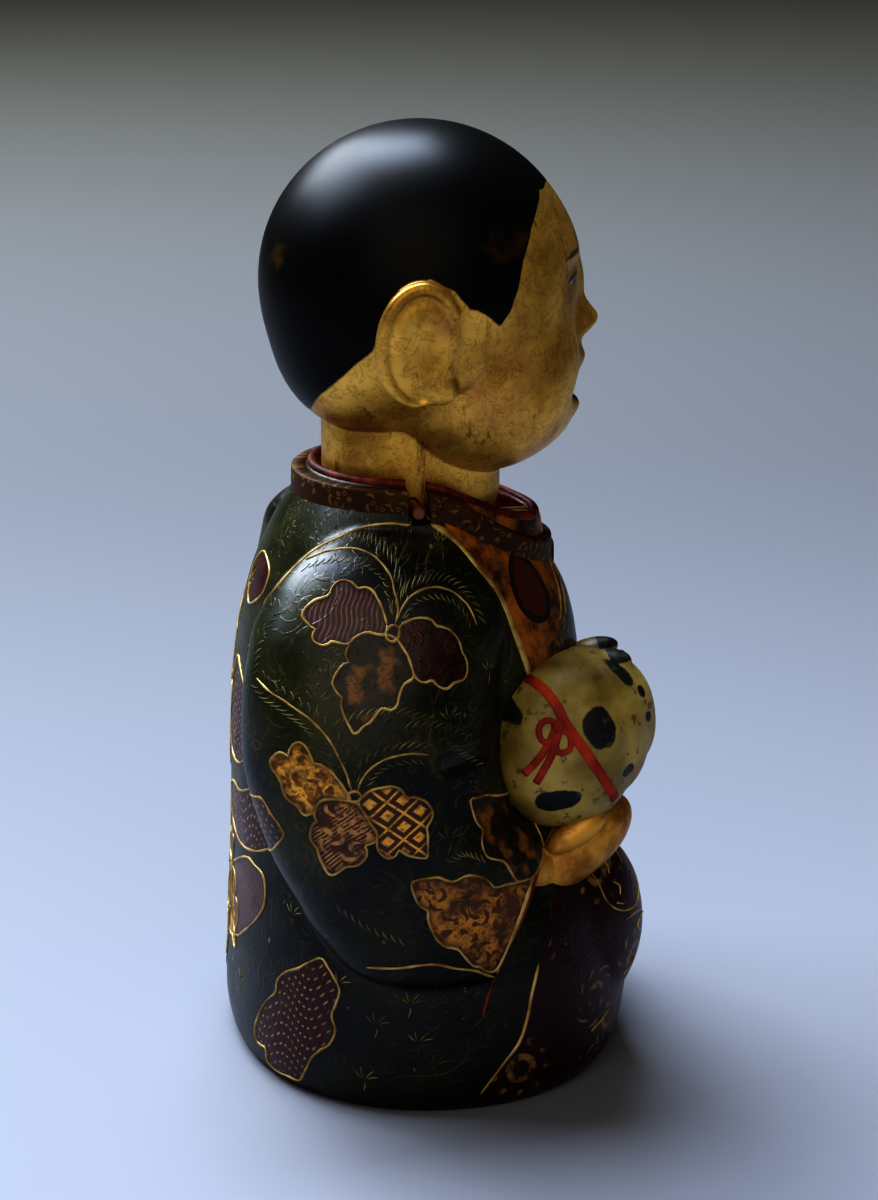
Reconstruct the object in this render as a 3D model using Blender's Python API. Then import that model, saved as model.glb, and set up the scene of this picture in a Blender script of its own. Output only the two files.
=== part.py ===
"""A carved and lacquered wooden doll: a chubby boy who sits in a long-sleeved jacket and holds a
spotted puppy. Its head and neck are one carving, which hangs on a cross pin in a well between the
shoulders and nods. The figure faces -Y, its right arm is on -X, and its origin is the middle of
the flat underside."""

import math

import bmesh
import bpy
from mathutils import Matrix, Vector

# Driving sizes, in metres
FIGURE_HEIGHT = 0.2385
RIM_WALL = 0.0024
NECK_HALF_WIDTH = 0.0200
NECK_HALF_DEPTH = 0.0225
NECK_SIDE_GAP = 0.0030
NECK_BACK_GAP = 0.0017
NECK_FRONT_GAP = 0.0082
PLUG_LENGTH = 0.0220
WELL_FLOOR_GAP = 0.0060
PIN_DIAMETER = 0.0030
PIN_END_INSET = 0.0008
PIN_CLEARANCE = 0.0003
NOTCH_WIDTH = 0.0052
NOTCH_SINK = 0.0004

# The carving keeps its proportions: its sizes are millimetres on the figure as it is carved,
# each turned into metres by this share of the height.
CARVED_HEIGHT = 238.5
UNIT = FIGURE_HEIGHT / CARVED_HEIGHT

# Height, depth in front, depth behind, half width and squareness of the robe, from the floor up
ROBE_SECTIONS = (
    (0.0, 46.0, 47.8, 57.0, 2.15),
    (2.5, 48.5, 49.6, 59.0, 2.2),
    (10.0, 51.5, 50.6, 60.5, 2.2),
    (28.0, 53.5, 50.0, 60.0, 2.2),
    (42.0, 52.5, 49.2, 57.5, 2.2),
    (58.0, 47.0, 48.6, 52.5, 2.2),
    (76.0, 42.0, 48.6, 48.0, 2.2),
    (92.0, 40.5, 48.0, 46.5, 2.2),
    (108.0, 39.0, 46.2, 45.5, 2.2),
    (122.0, 36.5, 43.3, 42.5, 2.15),
    (134.0, 33.5, 38.8, 38.0, 2.1),
    (144.0, 31.4, 33.6, 31.5, 2.05),
    (149.5, 30.7, 30.2, 27.6, 2.0),
    (152.5, 30.4, 28.4, 26.2, 2.0),
)
# Height, place across, place in depth, half width and half depth of the right sleeve
SLEEVE_SECTIONS = (
    (33.5, -47.0, 6.0, 9.0, 13.0),
    (35.5, -47.0, 5.0, 14.0, 21.0),
    (42.0, -45.5, 5.0, 17.0, 27.5),
    (51.0, -43.5, 6.0, 19.5, 32.5),
    (64.0, -41.5, 10.5, 21.5, 34.5),
    (78.0, -40.5, 18.0, 22.5, 31.5),
    (92.0, -39.5, 20.5, 22.5, 31.5),
    (105.0, -38.0, 20.0, 21.5, 31.5),
    (118.0, -35.5, 17.5, 19.5, 31.5),
    (130.0, -32.5, 15.5, 15.5, 27.0),
    (138.0, -29.5, 13.5, 10.5, 20.0),
    (142.5, -27.5, 12.5, 4.0, 9.0),
)
RIM_HEIGHT = 152.5
RIM_DIP = 14.0
RIM_DIP_START = 8.0
RIM_DIP_RUN = 39.0
NECK_CENTRE_Y = 2.3
NECK_TOP = 172.0
PIN_Y = 6.0
PIN_Z = 146.0
LEFT_ELBOW_DRAWN = 12.5
WRIST_TOP = (-52.0, -21.0, 66.0)
CUFF_BOTTOM = (-60.0, -5.0, 34.0)


def eased(share):
    """0 to 1 with flat ends."""
    share = min(max(share, 0.0), 1.0)
    return share * share * (3.0 - 2.0 * share)


def between(rows, height):
    """The row of a section table at this height, on a smooth curve that never overshoots."""
    last = len(rows) - 1
    low = 0
    while low < last - 1 and height > rows[low + 1][0]:
        low += 1
    run = rows[low + 1][0] - rows[low][0]
    share = (height - rows[low][0]) / run
    square, cube = share * share, share * share * share
    values = []
    for column in range(1, len(rows[0])):
        steps = [
            (rows[row + 1][column] - rows[row][column]) / (rows[row + 1][0] - rows[row][0])
            for row in range(last)
        ]
        slopes = []
        for row in (low, low + 1):
            before = steps[max(row - 1, 0)]
            after = steps[min(row, last - 1)]
            same_way = before * after > 0
            slopes.append(2 * before * after / (before + after) if same_way else 0.0)
        values.append(
            (2 * cube - 3 * square + 1) * rows[low][column]
            + (cube - 2 * square + share) * run * slopes[0]
            + (3 * square - 2 * cube) * rows[low + 1][column]
            + (cube - square) * run * slopes[1]
        )
    return values


def rounded(angle, power):
    """Cosine and sine of a squared-off circle."""
    cosine, sine = math.cos(angle), math.sin(angle)
    across = math.copysign(abs(cosine) ** (2.0 / power), cosine)
    along = math.copysign(abs(sine) ** (2.0 / power), sine)
    return across, along


def rim_drop(height, depth):
    """How far the collar's dip lowers a point of the robe: all of it at the rim, none at the chest."""
    reach = eased((height - 112.0) / (RIM_HEIGHT - 112.0))
    return RIM_DIP * reach * eased((RIM_DIP_START - depth) / RIM_DIP_RUN)


def robe_point(angle, height, proud=0.0):
    """A point of the robe, at this angle from +X towards +Y, this far proud of the surface."""
    front, back, half_width, power = between(ROBE_SECTIONS, height)
    across, along = rounded(angle, power)
    depth = along * ((back if along > 0 else front) + proud)
    return Vector((across * (half_width + proud), depth, height - rim_drop(height, depth)))


def scaled(points):
    return [Vector(point) * UNIT for point in points]


def loft(name, rings, material, ends=True):
    """A closed body through rings of points, given in carved millimetres."""
    mesh = bpy.data.meshes.new(name)
    form = bmesh.new()
    loops = [[form.verts.new(point) for point in scaled(ring)] for ring in rings]
    for lower, upper in zip(loops, loops[1:]):
        for step in range(len(lower)):
            after = (step + 1) % len(lower)
            form.faces.new((lower[step], lower[after], upper[after], upper[step]))
    if ends:
        form.faces.new(tuple(reversed(loops[0])))
        form.faces.new(tuple(loops[-1]))
    else:
        for step in range(len(loops[0])):
            after = (step + 1) % len(loops[0])
            form.faces.new((loops[-1][step], loops[-1][after], loops[0][after], loops[0][step]))
    bmesh.ops.recalc_face_normals(form, faces=form.faces)
    form.to_mesh(mesh)
    form.free()
    mesh.materials.append(material)
    mesh.shade_smooth()
    mesh.set_sharp_from_angle(angle=math.radians(42))
    piece = bpy.data.objects.new(name, mesh)
    bpy.context.scene.collection.objects.link(piece)
    return piece


def egg(name, centre, radii, material, turns=(0.0, 0.0, 0.0), rings=9, steps=14, power=2.0):
    """An ellipsoid in carved millimetres, turned about X, Y and Z by degrees, slightly squared."""
    spin = (
        Matrix.Rotation(math.radians(turns[2]), 3, "Z")
        @ Matrix.Rotation(math.radians(turns[1]), 3, "Y")
        @ Matrix.Rotation(math.radians(turns[0]), 3, "X")
    )
    rows = []
    for ring in range(rings):
        rise = math.pi * ((ring + 0.5) / rings - 0.5)
        out, up = rounded(rise, power)
        row = []
        for step in range(steps):
            across, along = rounded(2 * math.pi * step / steps, power)
            local = Vector((radii[0] * out * across, radii[1] * out * along, radii[2] * up))
            row.append(Vector(centre) + spin @ local)
        rows.append(row)
    return loft(name, rows, material)


def tube(name, path, radii, material, steps=8):
    """A round bar along a path, in carved millimetres, with a radius at each point."""
    rows = []
    side = Vector((1.0, 0.0, 0.0))
    for index, point in enumerate(path):
        before = Vector(path[max(index - 1, 0)])
        after = Vector(path[min(index + 1, len(path) - 1)])
        ahead = (after - before).normalized()
        side = (side - ahead * side.dot(ahead)).normalized()
        up = ahead.cross(side)
        rows.append(
            [
                Vector(point)
                + radii[index]
                * (math.cos(turn) * side + math.sin(turn) * up)
                for turn in [2 * math.pi * step / steps for step in range(steps)]
            ]
        )
    return loft(name, rows, material)


def band(name, centre_line, half_width, proud, material, surface):
    """A flat strip of lacquered cloth carved on a surface, which centre_line crosses as
    (angle, height) pairs. It stands proud and its foot is sunk in the wood."""
    rows = []
    for index, (angle, height) in enumerate(centre_line):
        before = centre_line[max(index - 1, 0)]
        after = centre_line[min(index + 1, len(centre_line) - 1)]
        ahead = surface(*after) - surface(*before)
        here = surface(angle, height)
        outward = surface(angle, height, 1.0) - here
        outward.normalize()
        aside = ahead.cross(outward).normalized() * half_width
        top = outward * proud
        foot = outward * -2.4
        rows.append([here + aside + foot, here + aside + top, here - aside + top, here - aside + foot])
    return loft(name, rows, material)


def mirrored(piece):
    """The same form on the other arm's side."""
    mesh = piece.data.copy()
    mesh.transform(Matrix.Scale(-1.0, 4, (1.0, 0.0, 0.0)))
    mesh.flip_normals()
    other = bpy.data.objects.new(piece.name.replace("right", "left"), mesh)
    bpy.context.scene.collection.objects.link(other)
    return other


def finish(name, colour, roughness, metallic=0.0):
    material = bpy.data.materials.new(name)
    material.use_nodes = True
    shader = material.node_tree.nodes["Principled BSDF"]
    shader.inputs["Base Color"].default_value = (*colour, 1.0)
    shader.inputs["Roughness"].default_value = roughness
    shader.inputs["Metallic"].default_value = metallic
    return material


def gather(name, pieces):
    """Forms that a Boolean joins or cuts, kept as hidden guides."""
    group = bpy.data.collections.new(name)
    bpy.context.scene.collection.children.link(group)
    for piece in pieces:
        piece.hide_render = True
        piece.display_type = "WIRE"
        bpy.context.scene.collection.objects.unlink(piece)
        group.objects.link(piece)
    return group


def carve(piece, name, group, operation):
    step = piece.modifiers.new(name, "BOOLEAN")
    step.operation = operation
    step.operand_type = "COLLECTION"
    step.collection = group
    step.solver = "EXACT"
    step.material_mode = "TRANSFER"


def box(name, low, high, material):
    """A block between two corners, in carved millimetres."""
    rows = []
    for height in (low[2], high[2]):
        rows.append(
            [
                Vector((low[0], low[1], height)),
                Vector((high[0], low[1], height)),
                Vector((high[0], high[1], height)),
                Vector((low[0], high[1], height)),
            ]
        )
    return loft(name, rows, material)


def robe(material):
    """The robe's bell from the floor to the collar's rim."""
    heights = (0, 2.5, 8, 18, 28, 38, 50, 62, 76, 90, 104, 116, 126, 134, 140, 145, 149.5, RIM_HEIGHT)
    steps = 32
    rows = [
        [robe_point(2 * math.pi * step / steps, height) for step in range(steps)]
        for height in heights
    ]
    return loft("robe_form", rows, material)


def sleeve_point(angle, height, proud=0.0, drawn=0.0):
    """A point of a sleeve on the right. In front of its opening it is cut back to a slanting edge,
    and drawn is how far its elbow comes forward from behind."""
    across, depth, half_width, half_depth = between(SLEEVE_SECTIONS, height)
    drawn *= eased((height - 48.0) / 38.0) * (1.0 - 0.75 * eased((height - 118.0) / 24.0))
    depth -= drawn / 2
    half_depth -= drawn / 2
    side, along = rounded(angle, 2.15)
    place = depth + along * (half_depth + proud)
    lean = (WRIST_TOP[1] - CUFF_BOTTOM[1]) / (WRIST_TOP[2] - CUFF_BOTTOM[2])
    edge = CUFF_BOTTOM[1] + lean * (height - CUFF_BOTTOM[2])
    under_wrist = 1.0 - eased((height - WRIST_TOP[2]) / 8.0)
    place += max(edge - place, 0.0) * under_wrist
    return Vector((across + side * (half_width + proud), place, height))


def sleeve(name, drawn, material):
    """A sleeve on the right: full at the elbow, its hem hanging to the thigh, cut off at the cuff."""
    heights = (33.5, 35.5, 39, 45, 52, 60, 69, 78, 88, 98, 108, 118, 126, 133, 138.5, 142.5)
    steps = 20
    rows = [
        [sleeve_point(2 * math.pi * step / steps, height, 0.0, drawn) for step in range(steps)]
        for height in heights
    ]
    return loft(name, rows, material)


def elbow_fold(name, drawn, material):
    """The soft hollow inside the elbow, where the upper arm presses on the forearm."""
    shares = (0.0, 0.2, 0.4, 0.6, 0.8, 1.0)
    path = [sleeve_point(math.radians(196.0 + 48.0 * share), 91.0 + 2.0 * share, 0.6, drawn)
            for share in shares]
    return tube(name, path, (0.4, 1.5, 2.0, 2.1, 1.8, 0.8), material, steps=8)


def arms(lacquer, gilding):
    """The left forearm comes across the lap, and both hands lie under the puppy, fingers together."""
    reach = ((44.0, -6.0, 64.0), (38.0, -22.0, 64.0), (26.0, -33.0, 65.0), (12.0, -40.0, 67.0))
    forearm = tube("left_forearm_form", reach, (17.0, 15.0, 13.0, 11.0), lacquer, steps=14)
    right_palm = egg("right_palm_form", (-38.0, -30.0, 61.0), (10.0, 19.0, 9.5), gilding,
                     turns=(-28.0, 0.0, 14.0), rings=9, steps=14)
    left_palm = egg("left_palm_form", (0.0, -43.0, 68.5), (8.0, 16.0, 8.0), gilding,
                    turns=(-6.0, 0.0, -66.0), rings=8, steps=12)
    return [forearm, right_palm, left_palm]


def puppy(coat):
    """A plump puppy in the crook of the right arm, its head turned to the front."""
    return [
        egg("puppy_body_form", (-34.0, -27.4, 88.0), (21.3, 19.6, 21.8), coat, (0, 0, 0), 12, 20, 2.3),
        egg("puppy_head_form", (-29.0, -39.6, 92.0), (17.5, 13.8, 15.2), coat, (-6, 0, 0), 11, 18, 2.3),
        egg("puppy_muzzle_form", (-28.5, -48.2, 93.5), (8.5, 5.2, 7.0), coat, (0, 0, 0), 7, 12),
        egg("puppy_right_ear_form", (-31.5, -40.5, 105.5), (4.8, 7.0, 3.0), coat, (-8, -22, 0), 7, 12),
        egg("puppy_left_ear_form", (-19.0, -40.5, 105.5), (4.8, 7.0, 3.0), coat, (-8, 22, 0), 7, 12),
        egg("puppy_right_paw_form", (-34.0, -36.5, 72.0), (5.0, 7.0, 4.5), coat, (0, 0, 0), 6, 10),
        egg("puppy_left_paw_form", (-17.0, -40.0, 73.0), (5.0, 7.0, 4.5), coat, (0, 0, 0), 6, 10),
    ]


def knees(material):
    knee = egg("right_knee_form", (-22.5, -24.3, 35.0), (25.5, 29.0, 30.5), material, (0, 0, 0), 10, 20)
    return [knee, mirrored(knee)]


def sweep(start, end, steps):
    """(angle, height) pairs from start to end, angles in degrees."""
    return [
        (
            math.radians(start[0] + (end[0] - start[0]) * step / steps),
            start[1] + (end[1] - start[1]) * step / steps,
        )
        for step in range(steps + 1)
    ]


def collars(brocade, lacquer):
    """The neckband round the nape, the two lapels that cross on the chest and the red rim."""
    nape = band("neckband_form", sweep((-8.0, 147.6), (188.0, 147.6), 20), 4.2, 1.0, brocade, robe_point)
    right = band("right_lapel_form", sweep((178.0, 147.4), (282.0, 139.0), 12), 4.0, 1.2, brocade,
                 robe_point)
    left = band("left_lapel_form", sweep((2.0, 147.4), (-100.0, 136.0), 12), 4.0, 0.7, brocade,
                robe_point)
    steps = 28
    rows = []
    for step in range(steps):
        angle = 2 * math.pi * step / steps
        here = robe_point(angle, RIM_HEIGHT, -RIM_WALL / UNIT / 2)
        outward = (robe_point(angle, RIM_HEIGHT) - here).normalized()
        row = []
        for turn in range(8):
            bend = 2 * math.pi * turn / 8
            lift = Vector((0.0, 0.0, math.sin(bend)))
            row.append(here + RIM_WALL / UNIT / 2 * (math.cos(bend) * outward + lift))
        rows.append(row)
    rim = loft("rim_form", rows, lacquer, ends=False)
    return [nape, right, left, rim]


def jacket_edges(material):
    """The jacket's front edges: from the lapels down the chest, and again from the cuffs to the floor."""
    chest = band("right_chest_edge_form", sweep((226.0, 143.0), (252.0, 104.0), 8), 1.4, 0.9,
                 material, robe_point)
    skirt = band("right_skirt_edge_form", sweep((212.0, 44.0), (205.0, 6.0), 6), 1.2, 0.8,
                 material, robe_point)
    return [chest, mirrored(chest), skirt, mirrored(skirt)]


def well_ring(height, shrink):
    """The neck's well at this height: the neck with its gaps, narrowed by a share further down."""
    half_width = (NECK_HALF_WIDTH + NECK_SIDE_GAP) / UNIT
    back = (NECK_HALF_DEPTH + NECK_BACK_GAP) / UNIT
    front = (NECK_HALF_DEPTH + NECK_FRONT_GAP) / UNIT
    row = []
    steps = 28
    for step in range(steps):
        turn = 2 * math.pi * step / steps
        depth = math.sin(turn) * (back if math.sin(turn) > 0 else front)
        row.append(Vector((math.cos(turn) * half_width, depth, 0.0)) * shrink
                   + Vector((0.0, NECK_CENTRE_Y, height)))
    return row


def neck_well(material):
    """The well that the neck hangs in, and the two open notches that the pin's ends lie in."""
    floor = PIN_Z - (PLUG_LENGTH + WELL_FLOOR_GAP) / UNIT
    top = RIM_HEIGHT + 12.0
    rows = [well_ring(floor, 0.86), well_ring(PIN_Z - 8.0, 0.97), well_ring(PIN_Z, 1.0), well_ring(top, 1.0)]
    well = loft("neck_well_cutter", rows, material)
    seat = PIN_Z - (PIN_DIAMETER / 2 + PIN_CLEARANCE + NOTCH_SINK) / UNIT
    half = NOTCH_WIDTH / UNIT / 2
    inner = NECK_HALF_WIDTH / UNIT - 2.0
    outer = 40.0
    notch = box("right_notch_cutter", (-outer, PIN_Y - half, seat), (-inner, PIN_Y + half, top), material)
    return [well, notch, mirrored(notch)]


def ellipsoid_reach(origin, way, centre, radii, power=2.0):
    """How far from origin along way the surface of a squared ellipsoid lies."""
    low, high = 0.0, 120.0
    for _ in range(26):
        middle = (low + high) / 2
        point = origin + way * middle - centre
        inside = sum(abs(point[axis] / radii[axis]) ** power for axis in range(3)) < 1.0
        low, high = (middle, high) if inside else (low, middle)
    return low


def bump(x, z, at_x, at_z, wide, tall):
    return math.exp(-(((x - at_x) / wide) ** 2) - (((z - at_z) / tall) ** 2))


HEAD_HEART = Vector((0.0, -3.0, 190.0))
CRANIUM = (Vector((0.0, 0.2, 199.4)), (36.2, 39.6, 38.3))
JAW = (Vector((0.0, -12.2, 177.4)), (31.5, 26.4, 27.4))
NAPE = (Vector((0.0, 8.5, 187.0)), (30.0, 27.6, 26.0))


def head_point(way):
    """The skull, the nape and the full cheeks run into each other; then the face's own features."""
    skull = ellipsoid_reach(HEAD_HEART, way, *CRANIUM)
    cheek = ellipsoid_reach(HEAD_HEART, way, *JAW, power=2.2)
    nape = ellipsoid_reach(HEAD_HEART, way, *NAPE, power=2.3)
    blend = 24.0
    reach = (skull**blend + cheek**blend + nape**blend) ** (1 / blend)
    point = HEAD_HEART + way * reach
    facing = eased((-way.y - 0.15) / 0.5)
    x, z = abs(point.x), point.z
    carved = 0.0
    carved += 7.0 * bump(x, z, 0.0, 186.8, 4.0, 4.6)
    carved += 2.0 * bump(x, z, 4.2, 184.6, 2.4, 2.6)
    carved += 2.4 * bump(x, z, 0.0, 196.0, 3.4, 7.0)
    carved += 1.0 * bump(x, z, 0.0, 207.0, 17.0, 10.0)
    carved += 3.6 * bump(x, z, 0.0, 177.6, 8.5, 3.6)
    carved -= 3.6 * bump(x, z, 0.0, 170.8, 7.5, 2.6)
    carved += 3.0 * bump(x, z, 0.0, 165.4, 7.5, 3.0)
    carved += 4.2 * bump(x, z, 0.0, 159.0, 10.5, 6.5)
    carved -= 1.5 * bump(x, z, 12.5, 200.6, 8.5, 4.0)
    carved += 1.0 * bump(x, z, 12.5, 200.0, 5.0, 2.0)
    carved += 1.2 * bump(x, z, 19.0, 182.0, 9.0, 9.0)
    return point + Vector((0.0, -1.0, 0.0)) * carved * facing


def skull(material):
    rings, steps = 34, 36
    crowding = 0.5
    rows = []
    for ring in range(rings):
        rise = math.pi * ((ring + 0.5) / rings - 0.5)
        row = []
        for step in range(steps):
            share = 2 * math.pi * step / steps
            turn = share - crowding * math.sin(share) - math.pi / 2
            way = Vector((math.cos(rise) * math.cos(turn), math.cos(rise) * math.sin(turn), math.sin(rise)))
            row.append(head_point(way))
        rows.append(row)
    return loft("skull_form", rows, material)


EAR_CENTRE = Vector((-34.6, 7.0, 189.4))
EAR_LEAN = Matrix.Rotation(math.radians(-7.0), 3, "Y")


def ear(material):
    """The right ear: a flat bowl against the head with the fold of the helix round it. The fold
    starts over the cheek, goes over the top and down behind, and ends in the lobe."""
    plate = egg("right_ear_plate_form", EAR_CENTRE, (3.4, 10.2, 15.4), material, (0, -7, 0), 9, 16)
    path = []
    thick = []
    steps = 16
    for step in range(steps + 1):
        share = step / steps
        turn = math.radians(152.0 - 258.0 * share)
        round_bowl = Vector((-1.8, 9.6 * math.cos(turn), 14.5 * math.sin(turn)))
        path.append(EAR_CENTRE + EAR_LEAN @ round_bowl)
        thick.append(1.0 + 1.3 * math.sin(math.pi * min(share + 0.06, 1.0)) ** 0.5)
    helix = tube("right_ear_helix_form", path, thick, material, steps=7)
    return [plate, helix, mirrored(plate), mirrored(helix)]


def neck(material):
    """The neck and the plug below the pin, narrower towards its end so that it can swing."""
    low = PIN_Z - PLUG_LENGTH / UNIT
    rows = []
    steps = 28
    for height, share in ((low, 0.62), (low + 3.0, 0.74), (PIN_Z - 8.0, 0.93), (PIN_Z, 1.0),
                          (PIN_Z + 12.0, 1.0), (NECK_TOP, 1.0)):
        row = []
        for step in range(steps):
            turn = 2 * math.pi * step / steps
            row.append(Vector((math.cos(turn) * NECK_HALF_WIDTH / UNIT * share,
                               NECK_CENTRE_Y + math.sin(turn) * NECK_HALF_DEPTH / UNIT * share, height)))
        rows.append(row)
    return loft("neck_form", rows, material)


def pin_bar(name, radius, half_length, material):
    """A round bar along X through the neck, in metres."""
    mesh = bpy.data.meshes.new(name)
    form = bmesh.new()
    bmesh.ops.create_cone(form, cap_ends=True, segments=20, radius1=radius, radius2=radius,
                          depth=2 * half_length)
    bmesh.ops.rotate(form, verts=form.verts, matrix=Matrix.Rotation(math.pi / 2, 3, "Y"))
    bmesh.ops.translate(form, verts=form.verts, vec=(0.0, PIN_Y * UNIT, PIN_Z * UNIT))
    form.to_mesh(mesh)
    form.free()
    mesh.materials.append(material)
    mesh.shade_smooth()
    mesh.set_sharp_from_angle(angle=math.radians(42))
    piece = bpy.data.objects.new(name, mesh)
    bpy.context.scene.collection.objects.link(piece)
    return piece


def rim_side_reach():
    """The half width of the collar where the pin crosses it."""
    reach = 0.0
    for step in range(181):
        point = robe_point(math.radians(step), PIN_Z)
        if abs(point.y - PIN_Y) < 1.0:
            reach = max(reach, abs(point.x))
    return reach * UNIT


def build():
    for old in list(bpy.data.objects):
        bpy.data.objects.remove(old)
    green = finish("green_black_lacquer", (0.018, 0.021, 0.012), 0.30)
    crimson = finish("dark_crimson_lacquer", (0.060, 0.012, 0.014), 0.34)
    brocade = finish("brown_gold_brocade", (0.19, 0.10, 0.030), 0.40)
    gilt = finish("worn_gilding", (0.46, 0.30, 0.09), 0.42, 0.35)
    red = finish("red_lacquer", (0.28, 0.030, 0.022), 0.38)
    coat = finish("cream_coat", (0.47, 0.42, 0.22), 0.45)
    wood = finish("reddish_pin_wood", (0.24, 0.09, 0.05), 0.55)

    body = robe(green)
    body.name = "body"
    body.data.name = "body"
    pattern = sleeve("sleeve_pattern", LEFT_ELBOW_DRAWN, green)
    left_sleeve = mirrored(pattern)
    left_sleeve.name = "left_sleeve_form"
    bpy.data.objects.remove(pattern)
    forms = [sleeve("right_sleeve_form", 0.0, green), left_sleeve] + arms(green, gilt)
    forms += knees(crimson) + collars(brocade, red) + jacket_edges(brocade)
    carve(body, "carved_forms", gather("body_forms", forms), "UNION")
    pattern = elbow_fold("fold_pattern", LEFT_ELBOW_DRAWN, green)
    left_fold = mirrored(pattern)
    left_fold.name = "left_elbow_fold_cutter"
    bpy.data.objects.remove(pattern)
    hollows = neck_well(red) + [elbow_fold("right_elbow_fold_cutter", 0.0, green), left_fold]
    carve(body, "hollows", gather("body_hollows", hollows), "DIFFERENCE")
    carve(body, "puppy", gather("puppy_forms", puppy(coat)), "UNION")

    head = skull(gilt)
    head.name = "head"
    head.data.name = "head"
    carve(head, "ears_and_neck", gather("head_forms", ear(gilt) + [neck(gilt)]), "UNION")
    bore_radius = PIN_DIAMETER / 2 + PIN_CLEARANCE
    bore = pin_bar("pin_bore_cutter", bore_radius, 2 * NECK_HALF_WIDTH, gilt)
    carve(head, "pin_bore", gather("head_hollows", [bore]), "DIFFERENCE")

    pin_bar("neck_pin", PIN_DIAMETER / 2, rim_side_reach() - PIN_END_INSET, wood)


build()
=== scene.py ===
"""The seated doll with its puppy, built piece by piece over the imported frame. The figure faces -Y, its
right arm is on -X and it stands on the ground. Carved sizes are millimetres."""

import math

import bmesh
import bpy
import numpy as np
from mathutils import Matrix, Vector
from mathutils.bvhtree import BVHTree


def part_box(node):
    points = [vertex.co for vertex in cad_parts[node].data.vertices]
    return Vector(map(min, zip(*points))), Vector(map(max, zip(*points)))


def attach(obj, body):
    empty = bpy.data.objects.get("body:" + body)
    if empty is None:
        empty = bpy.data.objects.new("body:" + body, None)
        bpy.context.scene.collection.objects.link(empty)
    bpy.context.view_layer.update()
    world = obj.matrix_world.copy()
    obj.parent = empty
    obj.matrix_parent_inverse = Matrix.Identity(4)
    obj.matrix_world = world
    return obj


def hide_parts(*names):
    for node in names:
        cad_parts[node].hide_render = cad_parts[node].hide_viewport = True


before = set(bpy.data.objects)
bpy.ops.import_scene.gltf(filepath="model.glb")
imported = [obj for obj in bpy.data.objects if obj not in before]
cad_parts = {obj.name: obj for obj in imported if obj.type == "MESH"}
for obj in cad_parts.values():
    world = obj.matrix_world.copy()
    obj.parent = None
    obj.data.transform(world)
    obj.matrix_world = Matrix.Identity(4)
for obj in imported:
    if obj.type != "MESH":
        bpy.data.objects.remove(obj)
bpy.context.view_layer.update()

# The figure's body is one block of wood, carved as a bell-shaped robe with two long sleeves, the
# knees under a pleated skirt and a forearm across the lap. It is coated with green-black lacquer,
# and the cloth's patterns are painted on that in thin gold and dull colours.

MM = 0.001
ROBE_SECTIONS = (
    (0.0, 46.0, 47.8, 57.0, 2.15),
    (2.5, 48.5, 49.6, 59.0, 2.2),
    (10.0, 51.5, 50.6, 60.5, 2.2),
    (28.0, 53.5, 50.0, 60.0, 2.2),
    (42.0, 52.5, 49.2, 57.5, 2.2),
    (58.0, 47.0, 48.6, 52.5, 2.2),
    (76.0, 42.0, 48.6, 48.0, 2.2),
    (92.0, 40.5, 48.0, 46.5, 2.2),
    (108.0, 39.0, 46.2, 45.5, 2.2),
    (122.0, 36.5, 43.3, 42.5, 2.15),
    (134.0, 33.5, 38.8, 38.0, 2.1),
    (144.0, 31.4, 33.6, 31.5, 2.05),
    (149.5, 30.7, 30.2, 27.6, 2.0),
    (152.5, 30.4, 28.4, 26.2, 2.0),
)
SLEEVE_SECTIONS = (
    (33.5, -47.0, 6.0, 9.0, 13.0),
    (35.5, -47.0, 5.0, 14.0, 21.0),
    (42.0, -45.5, 5.0, 17.0, 27.5),
    (51.0, -43.5, 6.0, 19.5, 32.5),
    (64.0, -41.5, 10.5, 21.5, 34.5),
    (78.0, -40.5, 18.0, 22.5, 31.5),
    (92.0, -39.5, 20.5, 22.5, 31.5),
    (105.0, -38.0, 20.0, 21.5, 31.5),
    (118.0, -35.5, 17.5, 19.5, 31.5),
    (130.0, -32.5, 15.5, 15.5, 27.0),
    (138.0, -29.5, 13.5, 10.5, 20.0),
    (142.5, -27.5, 12.5, 4.0, 9.0),
)
RIM_HEIGHT = 152.5
PIN_Y = 6.0
PIN_Z = 146.0
WELL_Y = 2.3
WELL_HALF_WIDTH = 23.0
WELL_BACK = 24.2
WELL_FRONT = 30.7


def eased(share):
    share = min(max(share, 0.0), 1.0)
    return share * share * (3.0 - 2.0 * share)


def between(rows, height):
    """The row of a section table at this height, on a smooth curve that never overshoots."""
    last = len(rows) - 1
    low = 0
    while low < last - 1 and height > rows[low + 1][0]:
        low += 1
    run = rows[low + 1][0] - rows[low][0]
    share = (height - rows[low][0]) / run
    square, cube = share * share, share * share * share
    values = []
    for column in range(1, len(rows[0])):
        steps = [
            (rows[row + 1][column] - rows[row][column]) / (rows[row + 1][0] - rows[row][0])
            for row in range(last)
        ]
        slopes = []
        for row in (low, low + 1):
            before = steps[max(row - 1, 0)]
            after = steps[min(row, last - 1)]
            slopes.append(2 * before * after / (before + after) if before * after > 0 else 0.0)
        values.append(
            (2 * cube - 3 * square + 1) * rows[low][column]
            + (cube - 2 * square + share) * run * slopes[0]
            + (3 * square - 2 * cube) * rows[low + 1][column]
            + (cube - square) * run * slopes[1]
        )
    return values


def rounded(angle, power):
    cosine, sine = math.cos(angle), math.sin(angle)
    across = math.copysign(abs(cosine) ** (2.0 / power), cosine)
    return across, math.copysign(abs(sine) ** (2.0 / power), sine)


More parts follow.
